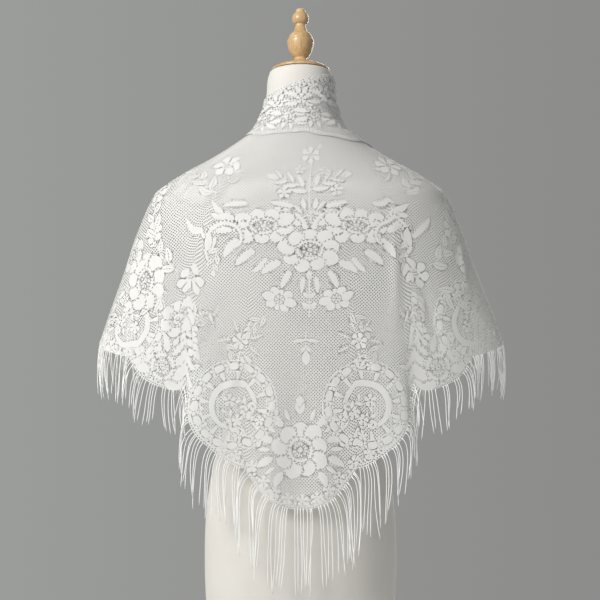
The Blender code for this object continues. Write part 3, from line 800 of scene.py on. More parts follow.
def petal_lobe(size):
    """A full rose between broad dotted leaves that fill the lobe, with a flower above it."""
    drawn = moved(flower(0.34 * size, 6), (0, 1.12 * size))
    for row in LOBE_LEAVES:
        one = [leaf((row.x * size, row.y * size), row.heading, row.length * size, row.width * size, row.bend, row.style)]
        drawn += one + moved(one, (0, 0), 0, 1, True)
    return drawn + rose(0.50 * size)


def point_lobe(size):
    """The point of the back: a large rose in broad petals, in a wreath of leaves."""
    heart = np.array([0, 0.1 * size])
    drawn = moved(bud(0.40 * size), (0, 0.86 * size))
    for side in (-1, 1):
        for k in range(4):
            heading = side * (38 + 34 * k)
            foot = 0.62 * size * towards(heading) + heart
            drawn.append(leaf(foot, heading, (0.52 - 0.05 * k) * size, 0.24 * size, side * 26, "edged"))
            between = heading - side * 17
            drawn.append(leaf(0.66 * size * towards(between) + heart, between, 0.30 * size, 0.10 * size, 0, "cloth"))
        drawn += moved(flower(0.19 * size, 5), (side * 0.66 * size, 0.86 * size))
        drawn += moved(flower(0.15 * size, 5), (side * 0.98 * size, 0.30 * size))
    return drawn + moved(rosette(0.31 * size, 9), heart)


def corner_flower(size):
    """What fills the net above a notch of the hem: a flower in a cross of leaves."""
    drawn = flower(0.42 * size, 6)
    for heading in (-128, -62, -18, 24, 70, 132):
        drawn.append(leaf(0.46 * size * towards(heading), heading, 0.72 * size, 0.26 * size, 0.3 * heading, "edged"))
    return drawn


def drop():
    """A hanging ornament: a bar, two small leaves and a long drop."""
    return [
        leaf((0, 0), 90, 0.022, 0.0055, 12, "cloth"),
        leaf((0, 0), -90, 0.022, 0.0055, -12, "cloth"),
        stem((0, 0.012), 180, 0.026),
        petal((0, -0.014), 180, 0.022, 0.013),
        leaf((0, -0.010), 130, 0.012, 0.004, 20, "cloth"),
        leaf((0, -0.010), -130, 0.012, 0.004, -20, "cloth"),
    ]


GarlandLeaf = namedtuple("GarlandLeaf", "x y heading length width bend style")
GARLAND = [
    GarlandLeaf(0.104, 0.056, 62, 0.036, 0.017, 34, "edged"),
    GarlandLeaf(0.106, 0.042, 96, 0.038, 0.017, -24, "edged"),
    GarlandLeaf(0.098, 0.026, 122, 0.036, 0.016, 36, "edged"),
    GarlandLeaf(0.076, 0.008, 112, 0.036, 0.016, 28, "edged"),
    GarlandLeaf(0.060, -0.002, 150, 0.030, 0.013, -30, "edged"),
    GarlandLeaf(0.040, -0.008, 108, 0.034, 0.016, 30, "edged"),
    GarlandLeaf(0.026, -0.022, 138, 0.030, 0.014, 26, "edged"),
    GarlandLeaf(0.008, -0.030, 164, 0.026, 0.012, 18, "edged"),
    GarlandLeaf(0.004, 0.040, 18, 0.034, 0.013, 24, "edged"),
    GarlandLeaf(0.012, 0.048, 52, 0.032, 0.014, 22, "edged"),
    GarlandLeaf(0.022, 0.078, 68, 0.034, 0.013, 22, "edged"),
    GarlandLeaf(0.086, 0.082, 84, 0.036, 0.013, 24, "edged"),
    GarlandLeaf(0.006, 0.074, 20, 0.020, 0.008, -20, "cloth"),
    GarlandLeaf(0.130, 0.030, 140, 0.026, 0.010, 24, "cloth"),
    GarlandLeaf(0.120, 0.066, 40, 0.026, 0.010, 30, "cloth"),
]


def garland_half():
    """One half of the garland across the back: a rose among broad petals and leaves, reaching out."""
    drawn = [leaf((row.x, row.y), *row[2:]) for row in GARLAND]
    drawn += moved(spray(0.036, 50, 4, 0.018, 0.009, "bud"), (0.124, 0.014), 132)
    return drawn + moved(rosette(0.0185, 9, 12), (0.064, 0.047), 6, (1.22, 0.76))


def chain():
    """A hanging chain of small flowers and paired petals."""
    drawn = [stem((0, 0), 180, 0.088, -16)]
    for k in range(7):
        at = drawn[0].spine[int((0.08 + 0.13 * k) * (len(drawn[0].spine) - 1))]
        for side in (-1, 1):
            drawn.append(leaf(at, 180 + side * 52, 0.017, 0.0085, -side * 30, "cloth"))
    drawn += moved(flower(0.011, 5), drawn[0].spine[len(drawn[0].spine) // 2])
    return drawn


def leaf_crown():
    """A curving stem with two pairs of leafy sprays, and small flowers between them."""
    upper = spray(0.054, -34, 6, 0.027, 0.0125, "bud", "edged")
    lower = spray(0.040, -40, 5, 0.022, 0.0105, "flower", "edged")
    drawn = [stem((0.004, -0.066), -9, 0.130, 20)]
    drawn += moved(lower, (-0.001, -0.040), -62) + moved(lower, (0, -0.034), 62, 1, True)
    drawn += moved(upper, (0, 0.000), -44) + moved(upper, (0, 0.004), 44, 1, True)
    for x, y, radius in ((-0.036, 0.000, 0.010), (0.038, 0.004, 0.010), (-0.014, 0.040, 0.008), (0.022, 0.038, 0.008)):
        drawn += moved(flower(radius, 5), (x, y))
    return drawn


def budded_stem():
    """A short upright stem with buds in pairs."""
    drawn = [stem((0, -0.030), 0, 0.058)]
    for height, length in ((-0.018, 0.014), (-0.002, 0.012)):
        for side in (-1, 1):
            drawn += moved(bud(length), (0, height), side * 50)
    return drawn + moved(bud(0.013), (0, 0.026), 0)


Motif = namedtuple("Motif", "kind x y heading flip")
MOTIFS = [
    Motif("small_flower", 0.019, -0.119, 0, False),
    Motif("leaf_crown", 0.016, -0.184, 0, False),
    Motif("garland", 0.0155, -0.286, 0, False),
    Motif("ring_flower", -0.028, -0.350, 18, False),
    Motif("ring_flower", 0.054, -0.349, -14, False),
    Motif("budded_stem", 0.015, -0.346, 0, False),
    Motif("drop", 0.010, -0.410, 0, False),
    Motif("sprig", -0.046, -0.372, -112, False),
    Motif("sprig", 0.072, -0.370, 112, True),
    Motif("side_spray", -0.118, -0.196, -18, False),
    Motif("side_spray", 0.149, -0.194, 18, True),
    Motif("scroll", -0.128, -0.292, -14, False),
    Motif("scroll", 0.156, -0.288, 14, True),
    Motif("open_flower", -0.158, -0.321, 0, False),
    Motif("open_flower", 0.170, -0.310, 0, False),
    Motif("branch", -0.176, -0.302, -50, False),
    Motif("branch", 0.190, -0.296, 50, True),
    Motif("chain", -0.160, -0.345, 6, False),
    Motif("chain", 0.176, -0.335, -6, True),
    Motif("branch", -0.205, -0.250, -22, False),
    Motif("branch", 0.220, -0.244, 22, True),
    Motif("side_spray", -0.190, -0.330, -118, True),
    Motif("side_spray", 0.205, -0.324, 118, False),
    Motif("rosette", -0.232, -0.306, 10, False),
    Motif("small_rosette", -0.182, -0.372, 0, False),
    Motif("small_rosette", -0.262, -0.256, 20, False),
    Motif("small_rosette", 0.262, -0.268, 0, False),
    Motif("curl", -0.075, -0.150, -60, True),
    Motif("curl", 0.105, -0.146, 60, False),
    Motif("open_flower", -0.108, -0.136, 10, False),
    Motif("open_flower", 0.138, -0.132, 10, False),
    Motif("curl", -0.128, -0.390, 8, True),
    Motif("curl", 0.158, -0.390, -8, False),
    Motif("sprig", -0.112, -0.412, 150, False),
    Motif("sprig", 0.122, -0.416, -150, True),
    Motif("garland", -0.330, -0.170, -10, False),
    Motif("garland", 0.345, -0.165, 10, False),
    Motif("side_spray", -0.235, -0.150, 30, True),
    Motif("side_spray", 0.250, -0.146, -30, False),
    Motif("ring_flower", -0.300, -0.085, 0, False),
    Motif("ring_flower", 0.310, -0.082, 0, False),
    Motif("scroll", -0.400, -0.090, -8, True),
    Motif("scroll", 0.410, -0.086, 8, False),
    Motif("open_flower", -0.455, -0.120, 0, False),
    Motif("open_flower", 0.465, -0.115, 0, False),
    Motif("side_spray", -0.540, -0.075, -60, False),
    Motif("side_spray", 0.550, -0.070, 60, True),
]


def drawn_motif(kind):
    if kind == "small_flower":
        return flower(0.015, 6) + moved(bud(0.011), (0.012, 0.012), 40)
    if kind == "open_flower":
        return flower(0.021, 6, 30)
    if kind == "ring_flower":
        return wide_flower()
    if kind == "leaf_crown":
        return leaf_crown()
    if kind == "garland":
        halves = garland_half() + moved(garland_half(), (0, 0), 0, 1, True)
        return halves + moved(rosette(0.0190, 9), (0, 0.010), 0, (1.15, 0.88))
    if kind == "rosette":
        return moved(rosette(0.019, 9), (0, 0), 0, (0.95, 1.15))
    if kind == "small_rosette":
        return rosette(0.014, 7)
    if kind == "budded_stem":
        return budded_stem()
    if kind == "drop":
        return drop()
    if kind == "chain":
        return chain()
    if kind == "sprig":
        return spray(0.040, -44, 4, 0.019, 0.0075)
    if kind == "side_spray":
        return spray(0.072, -46, 6, 0.028, 0.011)
    if kind == "branch":
        return spray(0.075, 40, 6, 0.027, 0.012, "flower")
    if kind == "curl":
        return scroll(0.062, 290)
    return scroll(0.125, 250)


def on_cut(cloth, degrees, z):
    """The place in the flat cut of a point of the worn cloth, and the heading of up there."""
    share = (degrees - cloth.degrees[0]) / (cloth.degrees[-1] - cloth.degrees[0])
    column = int(round(share * (cloth.flat.shape[1] - 1)))
    row = int(np.argmin(np.abs(cloth.grid[:, column, 2] - z)))
    up = cloth.flat[max(row - 3, 0), column] - cloth.flat[min(row + 3, len(cloth.flat) - 1), column]
    return cloth.flat[row, column], math.degrees(math.atan2(up[0], up[1]))


FrontMotif = namedtuple("FrontMotif", "kind azimuth z turn")
FRONT_MOTIFS = [
    FrontMotif("side_spray", 152, 0.790, 0),
    FrontMotif("rosette", 153, 0.772, 0),
    FrontMotif("side_spray", 156, 0.752, 168),
    FrontMotif("curl", 140, 0.770, 100),
    FrontMotif("sprig", 160, 0.530, 8),
    FrontMotif("open_flower", 160, 0.510, 0),
    FrontMotif("side_spray", 161, 0.490, 176),
]


def hem_line(cloth, first, last):
    """The hem's line in the flat cut between two azimuths, in even steps."""
    here = (cloth.degrees >= first) & (cloth.degrees <= last)
    return evenly(cloth.flat[-1][here])


def evenly(line, step=STEP):
    gone = np.concatenate([[0], np.cumsum(np.linalg.norm(np.diff(line, axis=0), axis=1))])
    count = max(5, 2 * round(gone[-1] / step / 2) + 1)
    at = np.linspace(0, gone[-1], count)
    return np.stack([np.interp(at, gone, line[:, 0]), np.interp(at, gone, line[:, 1])], axis=1)


def inset(line, distance):
    """A line moved to its left by a distance."""
    way = np.gradient(line, axis=0)
    for _ in range(6):
        way[1:-1] = (way[:-2] + way[1:-1] + way[2:]) / 3
    way /= np.linalg.norm(way, axis=1, keepdims=True)
    return line + np.stack([-way[:, 1], way[:, 0]], axis=1) * distance


LobeWork = namedtuple("LobeWork", "name size slide opening crowned")
LOBE_WORK = [
    LobeWork("back_medallion", 0.066, 0.010, -95, True),
    LobeWork("back_flower", 0.046, 0.000, 0, False),
    LobeWork("side_medallion", 0.064, -0.070, 95, True),
    LobeWork("side_flower", 0.043, 0.000, 0, True),
    LobeWork("front_medallion", 0.066, 0.010, -95, True),
    LobeWork("front_tip", 0.040, 0.000, 0, False),
]
HEM_BAND = 0.0060
FRONT_BAND = 0.0056
NOTCH_FLOWER = 0.030
HEM_STEP = 0.0022
HEM_CORD = 0.0011
HEM_EYELET = 0.0018
HEM_FLOWER = 0.0095
HEM_FLOWER_EVERY = 0.026


def border(cloth):
    """The worked border: a medallion or a rose in each lobe, and a flower above each notch."""
    middle = cloth.flat.shape[1] // 2
    way_in = cloth.flat[-8, middle] - cloth.flat[-1, middle]
    drawn = moved(point_lobe(0.068), cloth.flat[-1, middle] + way_in / np.linalg.norm(way_in) * 0.080)
    before = HEM[0].notch_azimuth
    for lobe, work in zip(HEM[1:], LOBE_WORK):
        for side in (-1, 1):
            line = hem_line(cloth, *sorted((side * before, side * lobe.notch_azimuth)))
            chord = (line[-1] - line[0]) / np.linalg.norm(line[-1] - line[0])
            inwards = np.array([-chord[1], chord[0]])
            lowest = line[np.argmin(line @ inwards)]
            across = (line[0] + line[-1]) / 2
            lowest = across + inwards * ((lowest - across) @ inwards)
            heading = math.degrees(math.atan2(inwards[0], inwards[1]))
            slid = lowest + side * chord * work.slide
            if "medallion" in lobe.name:
                drawn += moved(medallion(work.size, side * work.opening), slid + inwards * (work.size + 0.005), heading)
            else:
                drawn += moved(petal_lobe(work.size), slid + inwards * (HEM_BAND + 0.56 * work.size), heading)
            notch = line[-1] if side > 0 else line[0]
            if work.crowned:
                drawn += moved(corner_flower(NOTCH_FLOWER), notch + inwards * 0.118, heading)
        before = lobe.notch_azimuth
    return drawn


def edge_band(line, width, tooth, flowers=0.0):
    """A corded edge along a line's left with a row of eyelets, then small solid teeth and flowers in turn."""
    spine = inset(line, width / 2)
    drawn = [Ribbon(spine, np.full(len(spine), width / 2), "hem")]
    feet = inset(line, width - 0.001)
    step = np.linalg.norm(line[1] - line[0])
    for k in range(4, len(line) - 4, round(1.25 * tooth / step)):
        way = feet[k + 1] - feet[k - 1]
        inwards = math.degrees(math.atan2(-way[1], way[0]))
        drawn.append(petal(feet[k], inwards, tooth, 0.80 * tooth))
    if flowers:
        inner = inset(line, width + 0.8 * flowers)
        for k in range(6, len(line) - 6, round(HEM_FLOWER_EVERY / step)):
            drawn += moved(flower(flowers, 5), inner[k])
    return drawn


def bands_of(ribbon):
    """How a ribbon's surface runs across it: the share of its half width, lift, and eyelets after it."""
    wide = max(ribbon.half.max(), 1e-4)
    if ribbon.style == "cord" or wide < 0.0016:
        return [Band(-1, LOW, False), Band(0, CORDED, False), Band(1, LOW, False)]
    if ribbon.style == "hem":
        cord = 1 - HEM_CORD / wide
        body = 1 - (HEM_CORD + HEM_EYELET) / wide
        middle = (body - 1) / 2
        across = [(-1, LOW, False), (middle, RAISED, False), (body, LOW, True), (cord, CORDED, False)]
        return [Band(*band) for band in across] + [Band(1, LOW, False)]
    if ribbon.style == "half" and wide > 0.0022:
        across = np.linspace(-1, 1, 2 * max(2, round(wide / STEP)) + 2)
        return [Band(share, LOW, k % 2 == 1) for k, share in enumerate(across)]
    if ribbon.style == "edged" and wide > EDGE_CORD + EYELET_BAND:
        cord = 1 - EDGE_CORD / wide
        body = 1 - (EDGE_CORD + EYELET_BAND) / wide
        inside = np.linspace(-body, body, 2 * max(1, round(body * wide / CLOTH_BAND)) + 1)[1:-1]
        middle = [Band(share, RAISED, False) for share in inside]
        left = [Band(-1, LOW, False), Band(-cord, CORDED, True), Band(-body, LOW, False)]
        return left + middle + [Band(body, LOW, True), Band(cord, CORDED, False), Band(1, LOW, False)]
    if ribbon.style == "veined" and wide > 0.0026:
        vein = 0.0006 / wide
        half = [Band(-1, LOW, False), Band(-0.6, RAISED, False), Band(-vein, LOW, True)]
        return half + [Band(vein, LOW, False), Band(0.6, RAISED, False), Band(1, LOW, False)]
    inside = np.linspace(-1, 1, 2 * max(1, round(wide / CLOTH_BAND)) + 2)[1:-1]
    return [Band(-1, LOW, False)] + [Band(share, RAISED, False) for share in inside] + [Band(1, LOW, False)]


def ribbon_mesh(ribbon, order):
    """A ribbon's flat points, their lifts and its faces, with its eyelets left open."""
    bands = bands_of(ribbon)
    way = np.gradient(ribbon.spine, axis=0)
    way /= np.maximum(np.linalg.norm(way, axis=1, keepdims=True), 1e-9)
    aside = np.stack([way[:, 1], -way[:, 0]], axis=1)
    across = np.array([band.across for band in bands])
    points = ribbon.spine[:, None] + aside[:, None] * (ribbon.half[:, None] * across)[..., None]
    lifts = np.broadcast_to([band.lift + 0.00002 * (order % 7) for band in bands], points.shape[:2])
    wide = ribbon.half > 0.45 * ribbon.half.max()
    columns = len(bands)
    faces = []
    for s in range(len(ribbon.spine) - 1):
        for c, band in enumerate(bands[:-1]):
            if band.eyelets and s % 2 and wide[s] and wide[s + 1]:
                continue
            a = s * columns + c
            faces.append((a, a + 1, a + columns + 1, a + columns))
    return points.reshape(-1, 2), lifts.reshape(-1), faces


def put_on(cloth, points, lifts):
    """Points of the flat cut put on the drape, and the column of the drape that each one is in.

    A point just off the cut is drawn to its edge. One further off has column -1.
    """
    where = np.full(len(points), -1)
    hits = np.zeros((len(points), 2))
    down = Vector((0, 0, -1))
    for k, (x, y) in enumerate(points.tolist()):
        hit, _, cell, _ = cloth.tree.ray_cast(Vector((x, y, 1)), down)
        if cell is None:
            hit, _, cell, _ = cloth.tree.find_nearest(Vector((x, y, 0)), EDGE_REACH)
        if cell is not None:
            where[k] = cell
            hits[k] = hit[:2]
    corners = cloth.cells[where]
    flat = cloth.flat.reshape(-1, 2)
    a, b, c = (flat[corners[:, k]] for k in range(3))
    ab, ac, ap = b - a, c - a, hits - a
    whole = ab[:, 0] * ac[:, 1] - ab[:, 1] * ac[:, 0]
    share_b = (ap[:, 0] * ac[:, 1] - ap[:, 1] * ac[:, 0]) / whole
    share_c = (ab[:, 0] * ap[:, 1] - ab[:, 1] * ap[:, 0]) / whole
    shares = np.stack([1 - share_b - share_c, share_b, share_c], axis=1)
    place = np.einsum("ik,ikx->ix", shares, cloth.grid.reshape(-1, 3)[corners])
    facing = np.einsum("ik,ikx->ix", shares, cloth.normals.reshape(-1, 3)[corners])
    facing /= np.linalg.norm(facing, axis=1, keepdims=True)
    place += facing * np.broadcast_to(lifts, len(points))[:, None]
    column = np.where(where < 0, -1, where % (cloth.flat.shape[1] - 1))
    return place, column


def topmost(ribbons, low, high):
    """Looks up which ribbon lies uppermost at places of the flat cut: its number, or -1 for none."""
    grain = 0.0008
    size = np.ceil((high - low) / grain).astype(int) + 2
    owner = np.full(size, -1)
    for order, ribbon in enumerate(ribbons):
        way = np.gradient(ribbon.spine, axis=0)
        way /= np.maximum(np.linalg.norm(way, axis=1, keepdims=True), 1e-9)
        aside = np.stack([way[:, 1], -way[:, 0]], axis=1)
        fine = np.linspace(0, len(ribbon.spine) - 1, 3 * len(ribbon.spine))
        steps = np.arange(len(ribbon.spine))
        spine, half, out = (
            np.stack([np.interp(fine, steps, v) for v in part.T], axis=1)
            for part in (ribbon.spine, ribbon.half[:, None], aside)
        )
        across = np.linspace(-1, 1, 3 + 2 * math.ceil(ribbon.half.max() / grain))
        places = spine[:, None] + out[:, None] * (half * across)[..., None]
        at = np.round((places.reshape(-1, 2) - low) / grain).astype(int)
        at = at[(at >= 0).all(1) & (at < size).all(1)]
        owner[at[:, 0], at[:, 1]] = order
    return lambda points: owner[tuple(np.clip(np.round((points - low) / grain).astype(int), 0, size - 1).T)]


def net_cells(cloth, top, solid):
    """Crossings of the net on the cut, where they come on the drape, and the four round each hole."""
    flat = cloth.flat.reshape(-1, 2)
    low, high = flat.min(0), flat.max(0)
    slant = np.array([[1, 1], [-1, 1]]) / math.sqrt(2) * MESH_SIDE
    ends = np.array([low, high, [low[0], high[1]], [high[0], low[1]]]) @ np.linalg.inv(slant)
    first = np.floor(ends.min(0)).astype(int)
    count = np.ceil(ends.max(0)).astype(int) - first + 1
    steps = np.stack(np.meshgrid(*(np.arange(n) for n in count), indexing="ij"), axis=-1)
    crossings = (steps + first) @ slant
    inside = ((crossings >= low) & (crossings <= high)).all(-1)
    index = np.full(inside.shape, -1)
    index[inside] = np.arange(inside.sum())
    spots = crossings[inside]
    places, column = put_on(cloth, spots, NET_ROUND)
    cells = [index[:-1, :-1], index[1:, :-1], index[1:, 1:], index[:-1, 1:]]
    cells = np.stack(cells, axis=-1).reshape(-1, 4)
    cells = cells[(cells >= 0).all(1)]
    cells = cells[(column[cells] >= 0).all(1)]
    under = solid[top(spots[cells].mean(1))] | (top(spots)[cells] >= 0).all(1)
    return spots, places, column, cells[~under]


def lace_on(cloth, ribbons):
    """The whole lace of one cut: points, faces, flat places and the drape's column of every face."""
    flat = cloth.flat.reshape(-1, 2)
    top = topmost(ribbons, flat.min(0), flat.max(0))
    solid = np.array([ribbon.half.max() > 0.65 * MESH_SIDE for ribbon in ribbons] + [False])
    spots, places, column, cells = net_cells(cloth, top, solid)
    used, cells = np.unique(cells, return_inverse=True)
    cells = cells.reshape(-1, 4)
    spots, places, column = spots[used], places[used], column[used]
    hole = 1 - NET_THREAD / MESH_SIDE
    holes, flat_holes = (
        (at[cells].mean(1, keepdims=True) * (1 - hole) + at[cells] * hole).reshape(-1, at.shape[1])
        for at in (places, spots)
    )
    first = len(spots) + 4 * np.arange(len(cells))
    threads = []
    for k in range(4):
        j = (k + 1) % 4
        threads.append(np.stack([cells[:, k], cells[:, j], first + j, first + k], axis=1))
    points, cuts = [places, holes], [spots, flat_holes]
    faces = np.concatenate(threads).tolist()
    columns = np.tile(column[cells].mean(1), 4).tolist()
    count = len(spots) + len(holes)
    for order, ribbon in enumerate(ribbons):
        own, lifts, own_faces = ribbon_mesh(ribbon, order)
        where, column = put_on(cloth, own, lifts)
        own_faces = np.array(own_faces)
        over = top(own[own_faces].mean(1))
        under = (over > order) & (solid[over] | (top(own) > order)[own_faces].all(1))
        own_faces = own_faces[~under & (column[own_faces] >= 0).all(1)]
        points.append(where)
        cuts.append(own)
        faces += (own_faces + count).tolist()
        columns += column[own_faces].mean(1).tolist()
        count += len(own)
    return np.concatenate(points), faces, np.concatenate(cuts), np.array(columns)


def lace_piece(name, lace, low, high, finish):
    """The stretch of a lace between two columns of its drape, as one piece."""
    points, faces, cuts, columns = lace
    mine = [face for face, column in zip(faces, columns) if low <= column < high]
    used = np.unique([i for face in mine for i in face])
    new = np.zeros(len(points), int)
    new[used] = np.arange(len(used))
    piece = add_piece(name, points[used], [tuple(new[list(face)].tolist()) for face in mine], finish)
    layer = piece.data.uv_layers.new(name="cut")
    loops = np.zeros(len(piece.data.loops), int)
    piece.data.loops.foreach_get("vertex_index", loops)
    layer.data.foreach_set("uv", cuts[used][loops].astype(np.float32).reshape(-1))
    return piece


cotton, cotton_tree, cotton_shader = finish_named("cotton_lace", 0.86, Sheen_Weight=0.2)
cut_place = add_node(cotton_tree, "ShaderNodeUVMap", {}, uv_map="cut").outputs["UV"]
clouds = add_node(cotton_tree, "ShaderNodeTexNoise", {"Vector": cut_place, "Scale": 22.0, "Detail": 2.0})
cotton_tone = add_node(cotton_tree, "ShaderNodeMix", {"Factor": clouds.outputs["Fac"]}, data_type="RGBA")
cotton_tone.inputs["A"].default_value = srgb(COTTON_SHADE)
cotton_tone.inputs["B"].default_value = srgb(COTTON_WHITE)
yarns = add_node(
    cotton_tree,
    "ShaderNodeTexWave",
    {"Vector": cut_place, "Scale": 1 / YARN_WIDTH / 3.2, "Distortion": 1.2, "Detail": 1.0},
    bands_direction="Y",
)
yarn_relief = add_node(
    cotton_tree, "ShaderNodeBump", {"Height": yarns.outputs["Fac"], "Strength": 0.25, "Distance": 0.0003}
)
cotton_tree.links.new(cotton_tone.outputs["Result"], cotton_shader.inputs["Base Color"])
cotton_tree.links.new(yarn_relief.outputs["Normal"], cotton_shader.inputs["Normal"])

drawn = border(shawl)
for motif in MOTIFS:
    drawn += moved(drawn_motif(motif.kind), (motif.x, motif.y), motif.heading, 1, motif.flip)
for side in (-1, 1):
    for motif in FRONT_MOTIFS:
        spot, up = on_cut(shawl, side * motif.azimuth, motif.z)
        drawn += moved(drawn_motif(motif.kind), spot, up + side * motif.turn, 1, side > 0)
drawn = edge_band(evenly(shawl.flat[-1], HEM_STEP), HEM_BAND, 0.0060, HEM_FLOWER) + drawn
drawn += edge_band(evenly(shawl.flat[:, 0], HEM_STEP), FRONT_BAND, 0.005)
drawn += edge_band(evenly(shawl.flat[::-1, -1], HEM_STEP), FRONT_BAND, 0.005)
shawl_lace = lace_on(shawl, drawn)
columns_each_side = round((FRONT_EDGE - SEAM_AZIMUTH) / (2 * FRONT_EDGE) * (CLOTH_COLUMNS - 1))
last_column = CLOTH_COLUMNS
lace_wing_left = lace_piece("lace_wing_left", shawl_lace, 0, columns_each_side, cotton)
lace_back = lace_piece("lace_back", shawl_lace, columns_each_side, last_column - 1 - columns_each_side, cotton)
lace_wing_right = lace_piece(
    "lace_wing_right", shawl_lace, last_column - 1 - columns_each_side, last_column, cotton
)
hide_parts("shawl_wing_left")
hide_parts("shawl_back")
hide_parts("shawl_wing_right")


# Shawl: the turned-down edge
# The long edge of the same cut is folded over outwards round the neck and lies there like a soft collar.
# Its free edge is a corded, dotted selvage, and the fold above it is a soft roll.
CollarEdge = namedtuple("CollarEdge", "azimuth z lift")
COLLAR = [
    CollarEdge(-FRONT_EDGE, 0.790, 0.0040),
    CollarEdge(-150, 0.850, 0.0050),
    CollarEdge(-120, 0.918, 0.0025),
    CollarEdge(-90, 0.948, 0.0008),
    CollarEdge(-60, 0.948, 0.0005),
    CollarEdge(-30, 0.950, 0.0005),
    CollarEdge(0, 0.951, 0.0006),
    CollarEdge(30, 0.946, 0.0008),
    CollarEdge(60, 0.941, 0.0008),
    CollarEdge(90, 0.934, 0.0010),
    CollarEdge(120, 0.908, 0.0035),
    CollarEdge(150, 0.845, 0.0050),
    CollarEdge(FRONT_EDGE, 0.785, 0.0040),
]
COLLAR_GAP = 0.0006
COLLAR_ROWS = 49
COLLAR_COLUMNS = 225
ROLL_ROWS = 6
SELVAGE = 0.0044
CollarLeaf = namedtuple("CollarLeaf", "x y heading length width bend style")
COLLAR_SPRAY = [
    CollarLeaf(0.002, 0.007, 16, 0.015, 0.0070, 30, "cloth"),
    CollarLeaf(0.004, -0.006, 104, 0.023, 0.0115, -30, "edged"),
    CollarLeaf(0.003, 0.002, 54, 0.024, 0.0120, 30, "edged"),
]
COLLAR_WREATH = [
    CollarLeaf(0.004, -0.010, 150, 0.013, 0.0065, 20, "cloth"),
    CollarLeaf(0.009, -0.005, 112, 0.024, 0.0120, -30, "edged"),
    CollarLeaf(0.010, 0.003, 66, 0.024, 0.0125, 26, "edged"),
]
CollarRow = namedtuple("CollarRow", "first share kind")
COLLAR_MOTIFS = [
    CollarRow(-139, 0.14, "flower"),
    CollarRow(-159, 0.36, "spray"),
    CollarRow(-139, 0.64, "wreath"),
]
COLLAR_MOTIF_EVERY = 40
COLLAR_CREASES = [
    Crease(40, 1.010, -44, 0.045, 0.0022, 0.0034),
    Crease(61, 0.996, -38, 0.055, 0.0028, 0.0036),
    Crease(80, 0.990, -30, 0.050, 0.0020, 0.0036),
    Crease(56, 0.968, -68, 0.050, 0.0026, 0.0046),
    Crease(66, 0.950, -76, 0.075, 0.0036, 0.0055),
    Crease(96, 0.948, -64, 0.070, 0.0030, 0.0055),
    Crease(18, 0.985, 62, 0.050, 0.0010, 0.0045),
    Crease(-20, 0.975, 75, 0.055, 0.0010, 0.0050),
    Crease(-62, 0.960, 70, 0.060, 0.0018, 0.0050),
    Crease(-55, 0.985, 48, 0.045, 0.0014, 0.0040),
    Crease(-84, 0.980, 35, 0.050, 0.0020, 0.0040),
    Crease(-108, 0.955, 28, 0.060, 0.0020, 0.0045),
    Crease(116, 0.962, -20, 0.060, 0.0022, 0.0045),
    Crease(138, 0.925, -12, 0.070, 0.0020, 0.0050),
    Crease(-136, 0.920, 14, 0.070, 0.0022, 0.0050),
]

collar_degrees = np.linspace(-FRONT_EDGE, FRONT_EDGE, COLLAR_COLUMNS)
collar_shares = np.linspace(0, 1, COLLAR_ROWS)[:, None]
collar_knots = [row.azimuth for row in COLLAR]
collar_free = through(collar_knots, [row.z for row in COLLAR], collar_degrees)
collar_lift = through(collar_knots, [row.lift for row in COLLAR], collar_degrees)
collar_free = collar_free + 0.0016 * np.sin(np.radians(collar_degrees) * 7 + 0.6) * np.cos(
    np.radians(collar_degrees) * 3.1
)
collar_top = top_z(collar_degrees)
collar_z = collar_top + (collar_free - collar_top) * collar_shares
collar_grid = drape(np.broadcast_to(collar_degrees, collar_z.shape), collar_z)
stand_off = WALL / 3 + COLLAR_GAP + WALL * (1 - collar_shares) + collar_lift * collar_shares**1.5
collar_grid = collar_grid + face_out(collar_grid) * stand_off[..., None]
shawl_tree = BVHTree.FromPolygons(shawl.grid.reshape(-1, 3).tolist(), shawl.cells.tolist())
collar_grid = hold_off(collar_grid, shawl_tree, COLLAR_GAP)
worn_in = creased(collar_grid, collar_degrees, COLLAR_CREASES) * ease(8 * collar_shares)
collar_grid = collar_grid + face_out(collar_grid) * np.maximum(worn_in, -COLLAR_GAP)[..., None]
collar_grid = hold_off(collar_grid, shawl_tree, COLLAR_GAP)
fold_out = face_out(collar_grid)[0]
collar_first = collar_grid[0]
under_fold = collar_first - fold_out * (2 * WALL)
roll = []
for k in range(ROLL_ROWS):
    turn = math.pi * k / ROLL_ROWS
    over = (1 - math.cos(turn)) / 2
    place = under_fold + (collar_first - under_fold) * over
    place[:, 2] += WALL * math.sin(turn)
    roll.append(place)
collar = cloth_of(collar_degrees, np.concatenate([np.array(roll), collar_grid]))

collar_drawn = edge_band(evenly(collar.flat[-1], HEM_STEP), SELVAGE, 0.004)
collar_drawn += edge_band(evenly(collar.flat[:, 0], HEM_STEP), SELVAGE, 0.004)
collar_drawn += edge_band(evenly(collar.flat[::-1, -1], HEM_STEP), SELVAGE, 0.004)
collar_drawn += edge_band(evenly(collar.flat[ROLL_ROWS + 1, ::-1], HEM_STEP), SELVAGE, 0.0045)
for row in COLLAR_MOTIFS:
    for degrees in range(row.first, FRONT_EDGE - 10, COLLAR_MOTIF_EVERY):
        column = np.argmin(np.abs(collar_degrees - degrees))
        z = collar_top[column] + (collar_free[column] - collar_top[column]) * row.share
        at, up = on_cut(collar, degrees, z)
        if row.kind == "flower":
            collar_drawn += moved(flower(0.0075, 5), at, up)
            continue
        leaves = COLLAR_SPRAY if row.kind == "spray" else COLLAR_WREATH
        half = [leaf((each.x, each.y), *each[2:]) for each in leaves]
        middle = flower(0.0085, 5) if row.kind == "spray" else rose(0.0125)
        collar_drawn += moved(half + moved(half, (0, 0), 0, 1, True) + middle, at, up)
lace_collar = lace_piece("lace_collar", lace_on(collar, collar_drawn), 0, COLLAR_COLUMNS, cotton)
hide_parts("shawl_collar")


